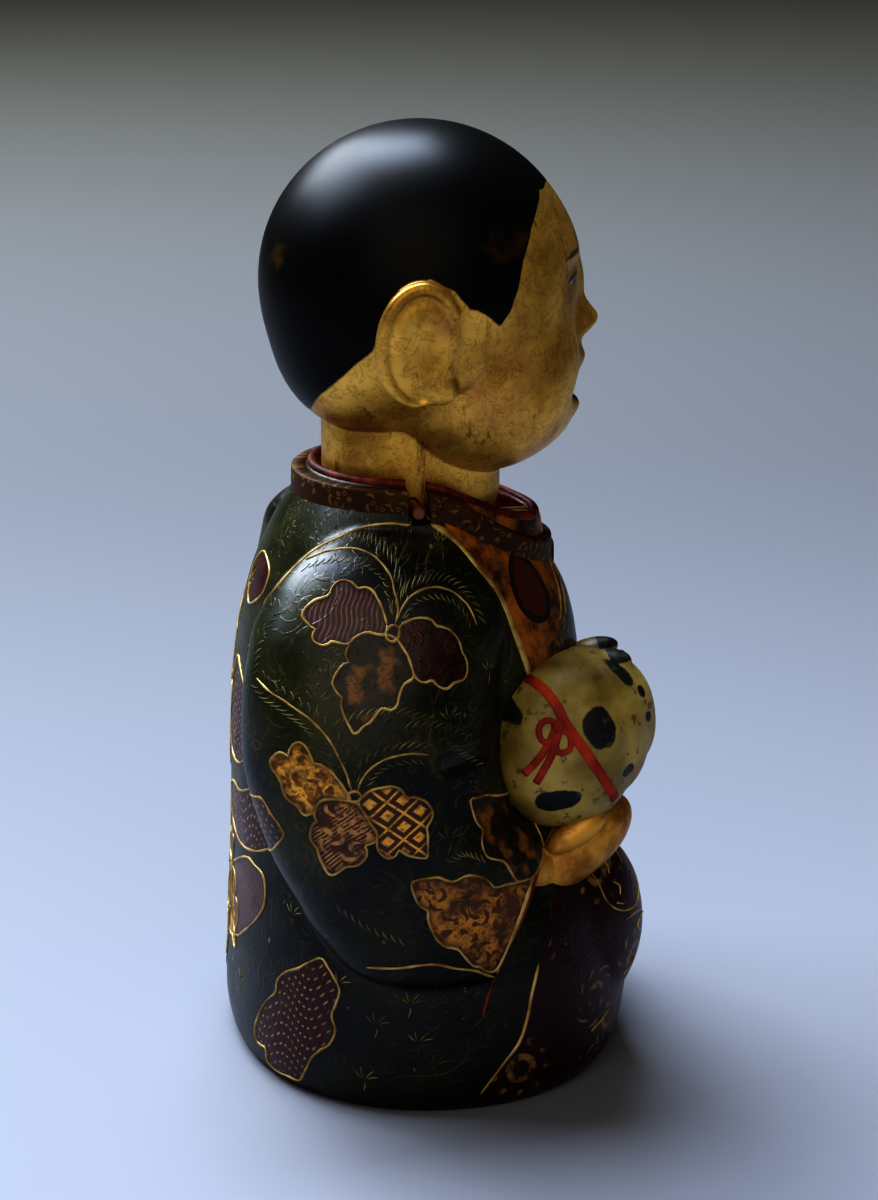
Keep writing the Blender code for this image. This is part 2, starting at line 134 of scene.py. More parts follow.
def robe_point(angle, height, proud=0.0):
    """A point of the robe, at this angle from +X towards +Y; the collar dips in front and a little at the
    sides.
    """
    front, back, half_width, power = between(ROBE_SECTIONS, height)
    across, along = rounded(angle, power)
    depth = along * ((back if along > 0 else front) + proud)
    drop = 14.0 * eased((height - 112.0) / (RIM_HEIGHT - 112.0)) * eased((8.0 - depth) / 39.0)
    return Vector((across * (half_width + proud), depth, height - drop))


def sleeve_point(angle, height, proud=0.0, drawn=0.0):
    """A point of the right sleeve. In front it is cut off to the slanting edge of its opening."""
    across, depth, half_width, half_depth = between(SLEEVE_SECTIONS, height)
    drawn *= eased((height - 48.0) / 38.0) * (1.0 - 0.75 * eased((height - 118.0) / 24.0))
    depth -= drawn / 2
    half_depth -= drawn / 2
    side, along = rounded(angle, 2.15)
    place = depth + along * (half_depth + proud)
    edge = -5.0 - 0.5 * (height - 34.0)
    place += max(edge - place, 0.0) * (1.0 - eased((height - 66.0) / 8.0))
    return Vector((across + side * (half_width + proud), place, height))


def loft(name, rings, closed=True, ends=True):
    """A skin through rings of points given in carved millimetres."""
    mesh = bpy.data.meshes.new(name)
    count = len(rings[0])
    corners = [tuple(point * MM) for ring in rings for point in ring]
    faces = []
    for row in range(len(rings) - (1 if ends else 0)):
        upper = (row + 1) % len(rings)
        for step in range(count if closed else count - 1):
            after = (step + 1) % count
            faces.append(
                (row * count + step, row * count + after, upper * count + after, upper * count + step)
            )
    if ends and closed:
        faces.append(tuple(reversed(range(count))))
        faces.append(tuple(range((len(rings) - 1) * count, len(rings) * count)))
    mesh.from_pydata(corners, [], faces)
    form = bmesh.new()
    form.from_mesh(mesh)
    bmesh.ops.recalc_face_normals(form, faces=form.faces)
    form.to_mesh(mesh)
    form.free()
    mesh.shade_smooth()
    piece = bpy.data.objects.new(name, mesh)
    bpy.context.scene.collection.objects.link(piece)
    return piece


def turned(degrees):
    about_x, about_y, about_z = (math.radians(angle) for angle in degrees)
    return (
        Matrix.Rotation(about_z, 3, "Z")
        @ Matrix.Rotation(about_y, 3, "Y")
        @ Matrix.Rotation(about_x, 3, "X")
    )


def egg(centre, radii, turns=(0, 0, 0), power=2.0, rings=30, steps=44):
    """An ellipsoid, turned about X, Y and Z by degrees and slightly squared."""
    spin = turned(turns)
    rows = []
    for ring in range(rings):
        out, up = rounded(math.pi * ((ring + 0.5) / rings - 0.5), power)
        row = []
        for step in range(steps):
            across, along = rounded(2 * math.pi * step / steps, power)
            row.append(Vector(centre) + spin @ Vector((radii[0] * out * across, radii[1] * out * along,
                                                       radii[2] * up)))
        rows.append(row)
    return loft("egg_form", rows)


def curve_through(points, spacing):
    """Evenly spaced points on a smooth curve through the given ones, which may carry extra values."""
    rows = np.array(points, float)
    ahead = np.vstack([rows[1:], 2 * rows[-1] - rows[-2]])
    before = np.vstack([2 * rows[0] - rows[1], rows[:-1]])
    if np.allclose(rows[0], rows[-1]):
        ahead[-1] = rows[1]
        before[0] = rows[-2]
    slopes = (ahead - before) / 2
    smooth = []
    for row in range(len(rows) - 1):
        for share in np.linspace(0, 1, 8, endpoint=False):
            square, cube = share**2, share**3
            smooth.append(
                (2 * cube - 3 * square + 1) * rows[row]
                + (cube - 2 * square + share) * slopes[row]
                + (3 * square - 2 * cube) * rows[row + 1]
                + (cube - square) * slopes[row + 1]
            )
    smooth.append(rows[-1])
    smooth = np.array(smooth)
    run = np.concatenate([[0.0], np.cumsum(np.linalg.norm(np.diff(smooth[:, :3], axis=0), axis=1))])
    places = np.linspace(0, run[-1], max(int(run[-1] / spacing), 2) + 1)
    return np.stack([np.interp(places, run, smooth[:, column]) for column in range(smooth.shape[1])], 1)


def tube(path, steps=24, spacing=1.0):
    """A round bar along (x, y, z, radius) points."""
    rows = []
    side = Vector((0.31, 0.17, 0.93))
    smooth = curve_through(path, spacing).tolist()
    for index, values in enumerate(smooth):
        before = Vector(smooth[max(index - 1, 0)][:3])
        after = Vector(smooth[min(index + 1, len(smooth) - 1)][:3])
        ahead = (after - before).normalized()
        side = (side - ahead * side.dot(ahead)).normalized()
        up = ahead.cross(side)
        rows.append([Vector(values[:3]) + values[3] * (math.cos(turn) * side + math.sin(turn) * up)
                     for turn in np.linspace(0, 2 * math.pi, steps, endpoint=False)])
    return loft("tube_form", rows)


def mirrored(piece):
    mesh = piece.data.copy()
    mesh.transform(Matrix.Scale(-1.0, 4, (1.0, 0.0, 0.0)))
    mesh.flip_normals()
    other = bpy.data.objects.new(piece.name + "_left", mesh)
    bpy.context.scene.collection.objects.link(other)
    return other


def settle(piece):
    """The piece with its modifiers worked into its mesh."""
    bpy.context.view_layer.update()
    shown = piece.evaluated_get(bpy.context.evaluated_depsgraph_get())
    mesh = bpy.data.meshes.new_from_object(shown)
    piece.modifiers.clear()
    piece.data = mesh
    return piece


def joined(name, forms):
    """Several forms as one mesh."""
    form = bmesh.new()
    for piece in forms:
        form.from_mesh(piece.data)
    mesh = bpy.data.meshes.new(name)
    form.to_mesh(mesh)
    form.free()
    for piece in forms:
        bpy.data.objects.remove(piece)
    mesh.shade_smooth()
    whole = bpy.data.objects.new(name, mesh)
    bpy.context.scene.collection.objects.link(whole)
    return whole


def fused(name, forms, grain, softening):
    """Overlapping forms as one skin, its inner corners softened as a knife and lacquer leave them."""
    whole = joined(name, forms)
    remesh = whole.modifiers.new("one_skin", "REMESH")
    remesh.mode = "VOXEL"
    remesh.voxel_size = grain * MM
    smooth = whole.modifiers.new("softened", "SMOOTH")
    smooth.factor = 0.5
    smooth.iterations = softening
    settle(whole)
    whole.data.shade_smooth()
    return whole


def cut(piece, cutters):
    for cutter in cutters:
        step = piece.modifiers.new("cut", "BOOLEAN")
        step.operation = "DIFFERENCE"
        step.object = cutter
        step.solver = "EXACT"
    settle(piece)
    for cutter in cutters:
        bpy.data.objects.remove(cutter)
    return piece


def surface_of(forms):
    """The surface of one form or more, to find places on."""
    sheet = bmesh.new()
    for form in forms:
        sheet.from_mesh(form.data)
    surface = BVHTree.FromBMesh(sheet)
    sheet.free()
    return surface


def block(low, high):
    rows = [[Vector((low[0], low[1], z)), Vector((high[0], low[1], z)), Vector((high[0], high[1], z)),
             Vector((low[0], high[1], z))] for z in (low[2], high[2])]
    return loft("block_form", rows)


def notch_cutters():
    notch = block((-40.0, PIN_Y - 2.6, 143.8), (-18.0, PIN_Y + 2.6, 164.5))
    return [notch, mirrored(notch)]


def well_cutters():
    """The neck's well and the two open notches for the pin's ends."""
    rows = []
    for height, shrink in ((118.0, 0.86), (138.0, 0.97), (146.0, 1.0), (164.5, 1.0)):
        row = []
        for turn in np.linspace(0, 2 * math.pi, 96, endpoint=False):
            depth = math.sin(turn) * (WELL_BACK if math.sin(turn) > 0 else WELL_FRONT)
            row.append(Vector((math.cos(turn) * WELL_HALF_WIDTH, depth, 0.0)) * shrink
                       + Vector((0, WELL_Y, height)))
        rows.append(row)
    return [loft("well_cutter", rows), *notch_cutters()]


turns = np.linspace(0, 2 * math.pi, 220, endpoint=False)
bell = loft("bell_form", [[robe_point(turn, height) for turn in turns]
                          for height in np.append(np.arange(0, 152, 1.6), 152.5)])
sleeves = []
for drawn in (0.0, 12.5):
    rows = [[sleeve_point(turn, height, 0.0, drawn) for turn in turns[::2]]
            for height in np.append(np.arange(33.5, 142, 1.4), 142.5)]
    shape = loft("sleeve_form", rows)
    path = [(*sleeve_point(math.radians(196 + 48 * share), 91 + 2 * share, 0.9, drawn), radius)
            for share, radius in ((0, 0.4), (0.2, 1.6), (0.4, 2.1), (0.6, 2.2), (0.8, 1.9), (1, 0.8))]
    opening = egg((-49.0, -17.5, 50.0), (7.5, 8.0, 13.5), (27, 0, 0))
    cut(shape, [tube(path), opening])
    sleeves.append(shape if drawn == 0 else mirrored(shape))
    if drawn:
        bpy.data.objects.remove(shape)
forearm = tube(((44, -6, 64, 17), (38, -22, 64, 15), (26, -33, 65, 13), (12, -40, 67, 11)), steps=60)
knee = egg((-22.5, -24.3, 35.0), (25.5, 29.0, 30.5), rings=60, steps=90)
knees = [knee, mirrored(knee)]
shapes = {label: surface_of(forms)
          for label, forms in (("sleeves", sleeves), ("knees", knees), ("forearm", [forearm]))}
body = fused("carved_robe", [bell, *sleeves, forearm, *knees], 0.86, 5)
body = cut(body, well_cutters())
on_body = surface_of([body])


def on_robe(around, height):
    """A point of the robe by its angle round the figure, from the right arm towards the back."""
    turn = math.radians(around)
    way = Vector((math.cos(turn), -math.sin(turn), 0.0))
    place, normal = on_body.ray_cast(Vector((0, 0, height * MM)) - way * 0.12, way)[:2]
    if place is None:
        place, normal = on_body.find_nearest(Vector((0, 0, height * MM)) - way * 0.06)[:2]
    return place / MM, normal


def field(places, outline):
    """Signed distance in millimetres of flat places from an outline, positive inside."""
    loop = np.asarray(outline, float)
    if not np.allclose(loop[0], loop[-1]):
        loop = np.vstack([loop, loop[:1]])
    low, high = loop.min(0) - 5, loop.max(0) + 5
    near = np.all((places > low) & (places < high), axis=1)
    result = np.full(len(places), -5.0)
    here = places[near]
    nearest = np.full(len(here), 1e9)
    crossings = np.zeros(len(here), bool)
    for start, end in zip(loop, loop[1:]):
        run = end - start
        share = np.clip(((here - start) @ run) / max(run @ run, 1e-9), 0, 1)
        nearest = np.minimum(nearest, np.linalg.norm(here - start - share[:, None] * run, axis=1))
        spans = (start[1] > here[:, 1]) != (end[1] > here[:, 1])
        with np.errstate(divide="ignore", invalid="ignore"):
            crossing = start[0] + (here[:, 1] - start[1]) / run[1] * run[0]
        crossings ^= spans & (here[:, 0] < crossing)
    result[near] = np.where(crossings, nearest, -nearest)
    return np.maximum(result, -5.0)


def corners_of(mesh):
    values = np.zeros(len(mesh.vertices) * 3)
    mesh.vertices.foreach_get("co", values)
    return values.reshape(-1, 3) / MM


def paint(mesh, name, values):
    layer = mesh.attributes.new(name, "FLOAT", "POINT")
    layer.data.foreach_set("value", np.asarray(values, np.float32))


ROUND = 58.0


def spread(outline):
    """(angle round the figure, height) pairs as flat millimetres."""
    rows = np.array(outline, float)
    return np.stack([np.radians(rows[:, 0]) * ROUND, rows[:, 1]], 1)


# Ivy leaves of the cloth, each as its outline in degrees round the figure and height, and its
# filling: 0 plum hatch, 1 crimson veins, 2 dark with blotches, 3 orange gold clouds, 4 brown scroll,
# 5 gold lattice, 6 crimson with beads, 7 clouded amber.
LEAVES = [
    (0, ((19.9, 125.5), (21, 128.1), (22, 129.8), (23, 131), (24.2, 132.3), (25.7, 133.1), (27.3, 133.3),
         (28.2, 133), (29.3, 133.5), (30.6, 134.2), (32.4, 134.6), (33.9, 134.4), (34.8, 133.8),
         (35.3, 132.6), (35.2, 131.8), (36.6, 131.1), (38.2, 130.6), (39.3, 129.7), (40.1, 128.7),
         (40.4, 127.6), (39.7, 126.5), (38.4, 125.8), (37.3, 125), (36.2, 124.7), (36.6, 123.6),
         (36.1, 122.3), (35.2, 121.8), (34.1, 121.4), (32.9, 121.6), (31.9, 122.3), (30, 121.9),
         (28.7, 121.7), (27.8, 122.1), (27.1, 123), (25.8, 123.8), (24.3, 124.2), (22.9, 123.9),
         (21.5, 123.6), (20, 123.6))),
    (1, ((16.5, 125.3), (15.7, 125.7), (14.2, 126.2), (12.7, 126.5), (10.5, 126.4), (8.4, 125.8),
         (7.3, 124.6), (5.4, 124), (3.7, 123.3), (2.1, 121.9), (1.1, 120.4), (0.5, 118), (-0.3, 116.7),
         (-0.7, 115), (-0.6, 113.2), (0.4, 111.7), (2, 111.5), (3.4, 111.2), (4.8, 110.3), (6, 110.5),
         (7.5, 111.4), (8.7, 112.7), (10.2, 112.4), (11.6, 112.8), (12.6, 113.7), (13.3, 115.2),
         (13.8, 116.8), (14.5, 118.6), (15.5, 120.1), (16.5, 121.5), (17.1, 122.4))),
    (2, ((20, 123.6), (21.5, 123.6), (22.9, 123.9), (24.3, 124.2), (25.8, 123.8), (27.1, 123),
         (28, 121.9), (28.4, 120.4), (28.5, 119.2), (27.6, 117.9), (28.7, 117.5), (29.6, 116.3),
         (30.3, 114.8), (30.5, 113.2), (29.7, 111.7), (28.8, 110.6), (28.1, 110), (28.3, 108.7),
         (27.8, 106.9), (27.1, 105.2), (26.3, 103.6), (25.4, 101.9), (24.6, 102.1), (23.5, 103.5),
         (22.3, 104.3), (21.3, 105.7), (20.5, 106.8), (19.7, 107.5), (18.2, 106.9), (16.8, 107.7),
         (16.2, 110.3), (15.3, 112.4), (13.3, 113.6), (13.3, 115.2), (13.8, 116.8), (14.5, 118.6),
         (15.5, 120.1), (16.5, 121.5), (17.1, 122.4))),
    (3, ((25.8, 86.9), (26.7, 88.5), (27.5, 90.1), (28.4, 91.5), (29.2, 92.7), (30.2, 93.6),
         (31.4, 94.5), (32.9, 94.7), (33.1, 95.4), (33.8, 97.1), (34.4, 98.2), (35.5, 99.3),
         (36.6, 99.3), (37.4, 98.5), (38, 97.2), (38.2, 95.7), (39, 96.3), (40.1, 96.3), (41.2, 95.4),
         (42.2, 93.6), (41.7, 92), (40.6, 90.8), (40, 89.7), (39.5, 88.8), (39.3, 87.3), (38.7, 85.6),
         (37.7, 84.5), (36.9, 83.9), (36, 83.5), (35.6, 82.3), (34.6, 81.4), (33.5, 81.9), (32.6, 82.8),
         (32, 84.6), (31.1, 85.7), (29.9, 86), (28.5, 86.1), (27.1, 85.9), (25.8, 85.9))),
    (4, ((24.4, 85.1), (25.8, 85.7), (27.1, 85.9), (28.5, 86.1), (29.9, 86), (31.1, 85.7), (32, 84.6),
         (32.6, 83), (32.8, 81.5), (32.3, 80.3), (33.1, 79.4), (33.6, 77.7), (33.8, 75.7), (33.3, 74.2),
         (32.5, 73), (32.4, 71.6), (32.1, 70), (31.5, 68.1), (30.8, 66.3), (30, 65.9), (28.8, 66.6),
         (27.6, 67.8), (26.7, 68.6), (25.7, 68.7), (24.5, 69), (23.4, 70.2), (22.6, 71.5), (22.5, 73.1),
         (22.9, 74.4), (22.1, 74.6), (21.1, 75.1), (20.5, 75.6), (20.5, 77.4), (21.1, 78.7),
         (21.9, 80.2), (22.7, 82), (23.5, 83.6), (24.1, 84.8))),
    (5, ((24.1, 85.3), (23.7, 86.6), (22.7, 87.5), (21.7, 88.2), (20.5, 88.6), (19.1, 88.8), (17.9, 89),
         (16.7, 88.6), (15.7, 88), (14.9, 86.6), (14.2, 85.8), (13, 85.7), (11.7, 85.2), (10.4, 84.3),
         (9.5, 83), (8.8, 81.4), (9.1, 80), (9.5, 79.1), (10.2, 77.9), (10, 76.1), (10, 74.4),
         (10, 72.6), (10, 70.9), (10.4, 70.2), (11.7, 70.4), (13, 70.8), (14.2, 71.3), (15.3, 72.2),
         (16.1, 72.8), (16.7, 71.5), (17.8, 70.8), (18.8, 71.1), (19.8, 72.2), (20.4, 73.5),
         (20.5, 75.6), (20.5, 77.4), (21.1, 78.7), (21.9, 80.2), (22.7, 82), (23.5, 83.6))),
    (2, ((-13, 79.6), (-8.9, 80.9), (-6.3, 81.9), (-4.4, 82.5), (-2.5, 82.5), (-0.4, 82.7), (-0.4, 81.3),
         (-0.8, 79.5), (-1.3, 77.7), (-2.2, 75.9), (-3.2, 74.7), (-2.8, 73.1), (-2.7, 71.5),
         (-3.1, 69.7), (-3.8, 68.4), (-4.6, 67.8), (-6.1, 67.2), (-7.9, 66.4), (-8.9, 65.2),
         (-9.6, 63.8), (-10.6, 61.9), (-11.9, 60.6), (-17, 61), (-23, 66), (-23, 72), (-20, 77))),
    (7, ((13.6, 63.7), (12.8, 64.5), (11.3, 64.9), (9.6, 65), (7.6, 65), (6.5, 64.3), (4.9, 63.6),
         (3.5, 63.7), (2.4, 64.3), (0.5, 64.6), (-1.1, 64.1), (-2.6, 63.5), (-3.8, 62.5), (-4.6, 61.4),
         (-5.3, 60.5), (-6.8, 60.5), (-8.6, 60.6), (-10.5, 60.5), (-12.5, 60.4), (-15.5, 59.7),
         (-12, 51.8), (-8.6, 43.7), (-6.2, 38.6), (-3.7, 38.6), (-1.9, 40.2), (-0.5, 40.6), (0.9, 42.2),
         (2.1, 44), (3.1, 45.5), (4.4, 46.2), (6, 46.6), (7.3, 47.8), (8.4, 49.4), (9.1, 51.3),
         (9.5, 52.4), (10, 54.3), (10, 56.4), (10.9, 57.2), (11.9, 58.3), (12.8, 60.2))),
    (6, ((37.4, 38.4), (41, 36.6), (45.1, 33.8), (49.5, 31.5), (52.8, 28.3), (53.6, 24.8), (57.5, 21.3),
         (61.4, 16.7), (64.4, 11.1), (63.2, 7.7), (58.7, 7.7), (58.8, 4.1), (55.2, 2.5), (49.5, 3),
         (44.9, 3.4), (42, 7.5), (39.8, 11.5), (37.3, 14.3), (34.4, 16.7), (32.7, 20.9), (33.8, 24.3),
         (32.7, 27.7), (31.7, 31.5), (33.6, 34.7), (35.5, 36.8))),
    (6, ((82, 70), (75, 72), (62, 77), (49, 82), (45, 83), (43, 80), (41, 77.5), (40, 75), (42, 72), (46, 68),
         (55, 63), (64, 59), (71, 57), (79, 56), (88, 56.5), (96, 60), (97, 67), (90, 70))),
    (0, ((88, 49), (75, 54), (69, 54), (63, 53), (61, 49.5), (61.5, 45), (66, 40), (73, 35), (83, 30),
         (90, 33), (93, 40), (93, 46))),
    (1, ((86, 131), (77, 129), (75, 126), (77, 122), (87, 118), (93, 121), (96, 126), (92, 130))),
    (6, ((92, 103), (86, 102), (79, 98), (75, 92), (73, 86), (76, 80), (84, 77), (93, 78), (97, 84),
         (96, 94))),
]
# The back and the left side, which carry the same leaves more sparsely: filling, base, tip and width
SPRAYS = (
    (6, (104, 96), (120, 112), 17), (4, (104, 94), (106, 70), 18),
    (3, (96, 44), (84, 26), 17), (2, (96, 44), (112, 30), 17), (1, (97, 46), (102, 62), 15),
    (5, (152, 112), (140, 124), 15), (3, (152, 112), (164, 122), 15), (2, (152, 110), (150, 88), 16),
    (4, (168, 72), (154, 62), 15), (6, (168, 72), (182, 60), 15), (0, (168, 73), (172, 90), 15),
    (3, (138, 40), (124, 30), 15), (6, (138, 40), (146, 20), 16), (5, (178, 40), (192, 50), 14),
)


def ivy(base, tip, width):
    """A five-lobed ivy leaf on the flat cloth from its stalk to its tip."""
    start, end = spread([base, tip])
    ahead = end - start
    aside = np.array([-ahead[1], ahead[0]])
    aside *= width / 2 / np.linalg.norm(aside)
    half = ((0, 0.03), (0.02, 0.42), (0.16, 0.78), (0.34, 0.86), (0.42, 0.66), (0.56, 0.92),
            (0.74, 0.74), (0.78, 0.4), (0.92, 0.22), (1.0, 0.0))
    loop = [(along, out) for along, out in half] + [(along, -out) for along, out in reversed(half[:-1])]
    return [tuple(start + ahead * along + aside * out) for along, out in loop + loop[:1]]


outlines = [(fill, [tuple(row) for row in spread(loop + loop[:1])]) for fill, loop in LEAVES]
outlines += [(fill, ivy(base, tip, width)) for fill, base, tip, width in SPRAYS]
outlines = [(fill, curve_through(loop, 0.8)) for fill, loop in outlines]

places = corners_of(body.data)
around = np.degrees(np.arctan2(places[:, 1], -places[:, 0]))
seen_round = np.where(around < -150, around + 360, around)
flat = np.stack([np.radians(seen_round) * ROUND, places[:, 2]], 1)
leaf = np.full(len(places), -5.0)
filling = np.zeros(len(places))
for fill, loop in outlines:
    inside = field(flat, loop)
    nearer = inside > leaf
    leaf[nearer] = inside[nearer]
    filling[nearer] = fill
outside_well = np.hypot(places[:, 0] / WELL_HALF_WIDTH, (places[:, 1] - WELL_Y)
                        / np.where(places[:, 1] > WELL_Y, WELL_BACK, WELL_FRONT)) - 1.0
in_well = (outside_well < 0.012) & (places[:, 2] > 117.5)
distance = {}
for label in ("sleeves", "knees", "forearm"):
    reach = np.full(len(places), 9.0)
    for index, place in enumerate(places):
        if place[1] < 12 and place[2] < 100:
            found = shapes[label].find_nearest(Vector(place * MM), 0.009)
            if found[0] is not None:
                reach[index] = found[3] / MM
    distance[label] = reach
front_angle = -np.interp(places[:, 2], (0, 9, 13.4, 18, 24, 36, 48, 60, 70),
                         (1, 5.4, 8.6, 12, 14.3, 17, 24, 29, 30))
front = (front_angle - around) * np.radians(1) * 55
front = np.where(places[:, 0] > 0, (around + 180 + front_angle) * np.radians(1) * 55, front)
front = np.where(np.abs(around) > 150, -5, front)
front = np.where(places[:, 1] < 0, front, -5)
skirt = np.maximum(front, 0.9 - distance["knees"])
cloth_over = np.minimum(distance["sleeves"], distance["forearm"]) - 0.9
skirt = np.where(places[:, 2] < 76, np.minimum(skirt, cloth_over), -5)
slant = places[:, 1] + 5.0 + 0.5 * (places[:, 2] - 34.0)
opening = np.where((places[:, 2] < 70) & (np.abs(places[:, 0]) > 36) & (distance["sleeves"] < 9)
                   & (slant > 0.35) & (slant < 12) & (np.hypot((np.abs(places[:, 0]) - 49) / 8.2,
                                                         (places[:, 2] - 50) / 14.0) < 1.0), 2.0, -2.0)
chest_line = np.interp(places[:, 2], (100, 104, 116, 123, 128, 134, 139, 142, 145),
                       (-30, -26, -21.6, -19.4, -16.7, -10.2, -5.1, 0.5, 8))
far_line = np.interp(places[:, 2], (100, 117, 128, 140, 146), (-24, -46, -66, -84, -100))
panel = np.minimum(chest_line - around, around - far_line)
panel = np.where((places[:, 1] < 0) & (places[:, 2] > 84), panel * np.radians(1) * 40, -5)
trim = 2.4 - np.abs(around - far_line + 3.4) * np.radians(1) * 40
trim = np.where((places[:, 1] < 0) & (places[:, 2] > 100) & (places[:, 2] < 143), trim, -5)
medal = np.full(len(places), -5.0)
for angle, height, wide, tall in ((-35, 126.5, 8.6, 8.2), (-62, 142, 6.0, 5.0), (-46, 105, 6.0, 6.0)):
    reach = np.hypot(np.radians(around - angle) * 46 / wide, (places[:, 2] - height) / tall)
    medal = np.maximum(medal, (1 - reach) * wide)
paint(body.data, "leaf", leaf)
paint(body.data, "filling", filling)
paint(body.data, "skirt", np.clip(skirt, -5, 5))
paint(body.data, "lining", np.where(in_well, 2.0, opening))
paint(body.data, "panel", np.clip(panel, -5, 5))
paint(body.data, "trim", np.clip(trim, -5, 5))
paint(body.data, "medal", medal)


class Finish:
    """A finish built up in layers on one Principled shader."""

    def __init__(self, name, roughness=0.35, metallic=0.0, coat=0.0, specular=0.5):
        self.material = bpy.data.materials.new(name)
        self.material.use_nodes = True
        self.tree = self.material.node_tree
        self.shader = self.tree.nodes["Principled BSDF"]
        for label, value in (("Roughness", roughness), ("Metallic", metallic), ("Coat Weight", coat),
                             ("Specular IOR Level", specular)):
            self.feed(self.shader.inputs[label], value)
        self.shader.inputs["Coat Roughness"].default_value = 0.12
        self.place = self.node("ShaderNodeTexCoord").outputs["Object"]

    def feed(self, socket, value):
        if isinstance(value, bpy.types.NodeSocket):
            self.tree.links.new(value, socket)
        elif isinstance(value, tuple) and len(value) == 3 and len(socket.default_value) == 4:
            socket.default_value = (*value, 1.0)
        else:
            socket.default_value = value

    def node(self, kind, settings=(), **feeds):
        made = self.tree.nodes.new(kind)
        for key, value in dict(settings).items():
            setattr(made, key, value)
        for key, value in feeds.items():
            self.feed(made.inputs[int(key[1:]) if key[1:].isdigit() else key.replace("_", " ")], value)
        return made

    def math(self, operation, first, second=0.0, third=0.0):
        return self.node("ShaderNodeMath", {"operation": operation}, i0=first, i1=second,
                         i2=third).outputs[0]

    def layer(self, name):
        return self.node("ShaderNodeAttribute", {"attribute_name": name}).outputs["Fac"]

    def step(self, value, low, high):
        """0 below low, 1 above high, smooth between."""
        made = self.node("ShaderNodeMapRange", {"interpolation_type": "SMOOTHSTEP"}, Value=value)
        for label, amount in (("From Min", low), ("From Max", high), ("To Min", 0.0), ("To Max", 1.0)):
            self.feed(made.inputs[label], amount)
        return made.outputs[0]

    def mix(self, share, first, second):
        made = self.node("ShaderNodeMix", {"data_type": "RGBA"})
        self.feed(made.inputs["Factor"], share)
        self.feed(made.inputs[6], first)
        self.feed(made.inputs[7], second)
        return made.outputs[2]

    def scaled(self, vector, amounts):
        return self.node("ShaderNodeVectorMath", {"operation": "MULTIPLY"}, i0=vector,
                         i1=amounts).outputs[0]

    def noise(self, scale, vector=None, detail=3.0, rough=0.55, twist=0.0):
        made = self.node("ShaderNodeTexNoise", Scale=scale, Detail=detail, Roughness=rough,
                         Distortion=twist, Vector=vector or self.place)
        return made.outputs["Fac"]

    def split(self, vector):
        return self.node("ShaderNodeSeparateXYZ", Vector=vector).outputs

    def joinedup(self, x, y):
        return self.node("ShaderNodeCombineXYZ", X=x, Y=y).outputs[0]

    def cells(self, scale, vector):
        return self.node("ShaderNodeTexVoronoi", {"voronoi_dimensions": "2D"}, Scale=scale,
                         Vector=vector).outputs

    def bump(self, height, strength, depth):
        made = self.node("ShaderNodeBump", Strength=strength, Distance=depth, Height=height)
        self.feed(self.shader.inputs["Normal"], made.outputs[0])

    def cloth_place(self):
        """Flat millimetres on the cloth: the way round the figure and the height."""
        x, y, z = self.split(self.place)[:3]
        turn = self.math("ARCTAN2", y, self.math("MULTIPLY", x, -1.0))
        return self.joinedup(self.math("MULTIPLY", turn, ROUND), self.math("MULTIPLY", z, 1000.0))

    def curls(self, place, size, arms, inner, outer, width):
        """Curling strokes in rings, one ring to a cell, each with a small round at its heart."""
        found = self.cells(1.0 / size, place)
        offset = self.node("ShaderNodeVectorMath", {"operation": "SUBTRACT"}, i0=place,
                           i1=found["Position"]).outputs[0]
        across, along = self.split(offset)[:2]
        reach = self.math("SQRT", self.math("ADD", self.math("MULTIPLY", across, across),
                                            self.math("MULTIPLY", along, along)))
        spin = self.math("MULTIPLY", self.split(found["Color"])[0], 40.0)
        swirl = self.math("MULTIPLY", self.math("SUBTRACT", self.split(found["Color"])[1], 0.5), 5.0)
        turn = self.math("ADD", self.math("MULTIPLY", self.math("ARCTAN2", along, across), float(arms)),
                         spin)
        turn = self.math("ADD", turn, self.math("MULTIPLY", reach, swirl))
        stroke = self.step(self.math("SINE", turn), 1.0 - width, 1.0 - width * 0.35)
        ring = self.math("MULTIPLY", self.step(reach, inner, inner + 0.7),
                         self.math("SUBTRACT", 1.0, self.step(reach, outer - 0.8, outer)))
        heart = self.math("MULTIPLY", self.step(reach, inner * 0.32, inner * 0.42),
                          self.math("SUBTRACT", 1.0, self.step(reach, inner * 0.6, inner * 0.72)))
        return self.math("MAXIMUM", self.math("MULTIPLY", stroke, ring), heart)


robe_finish = Finish("green_black_lacquer", specular=0.48)
here = robe_finish.cloth_place()
warped = robe_finish.node("ShaderNodeVectorMath", {"operation": "ADD"}, i0=here, i1=robe_finish.scaled(
    robe_finish.node("ShaderNodeTexNoise", Vector=robe_finish.place, Scale=60.0,
                     Detail=1.0).outputs["Color"], (3.0, 3.0, 0.0))).outputs[0]
patchy = robe_finish.noise(38.0, detail=5.0, rough=0.65)
ground = robe_finish.mix(robe_finish.step(patchy, 0.35, 0.7), (0.0025, 0.0028, 0.0012), (0.032, 0.034, 0.008))
worn = robe_finish.step(robe_finish.noise(150.0, detail=4.0, rough=0.7), 0.40, 0.58)
curl = robe_finish.curls(warped, 13.0, 8, 2.4, 7.0, 0.16)
fine = robe_finish.curls(robe_finish.scaled(warped, (1.0, 1.0, 0.0)), 8.0, 5, 1.5, 4.4, 0.2)
vine_height = robe_finish.math("ABSOLUTE", robe_finish.math(
    "SUBTRACT", robe_finish.noise(0.052, vector=here, detail=0.0), 0.5))
vine = robe_finish.math("SUBTRACT", 1.0, robe_finish.step(vine_height, 0.006, 0.012))
strokes = robe_finish.math("MAXIMUM", robe_finish.math("MAXIMUM", curl, robe_finish.math(
    "MULTIPLY", fine, 0.7)), vine)
strokes = robe_finish.math("MULTIPLY", strokes, worn)
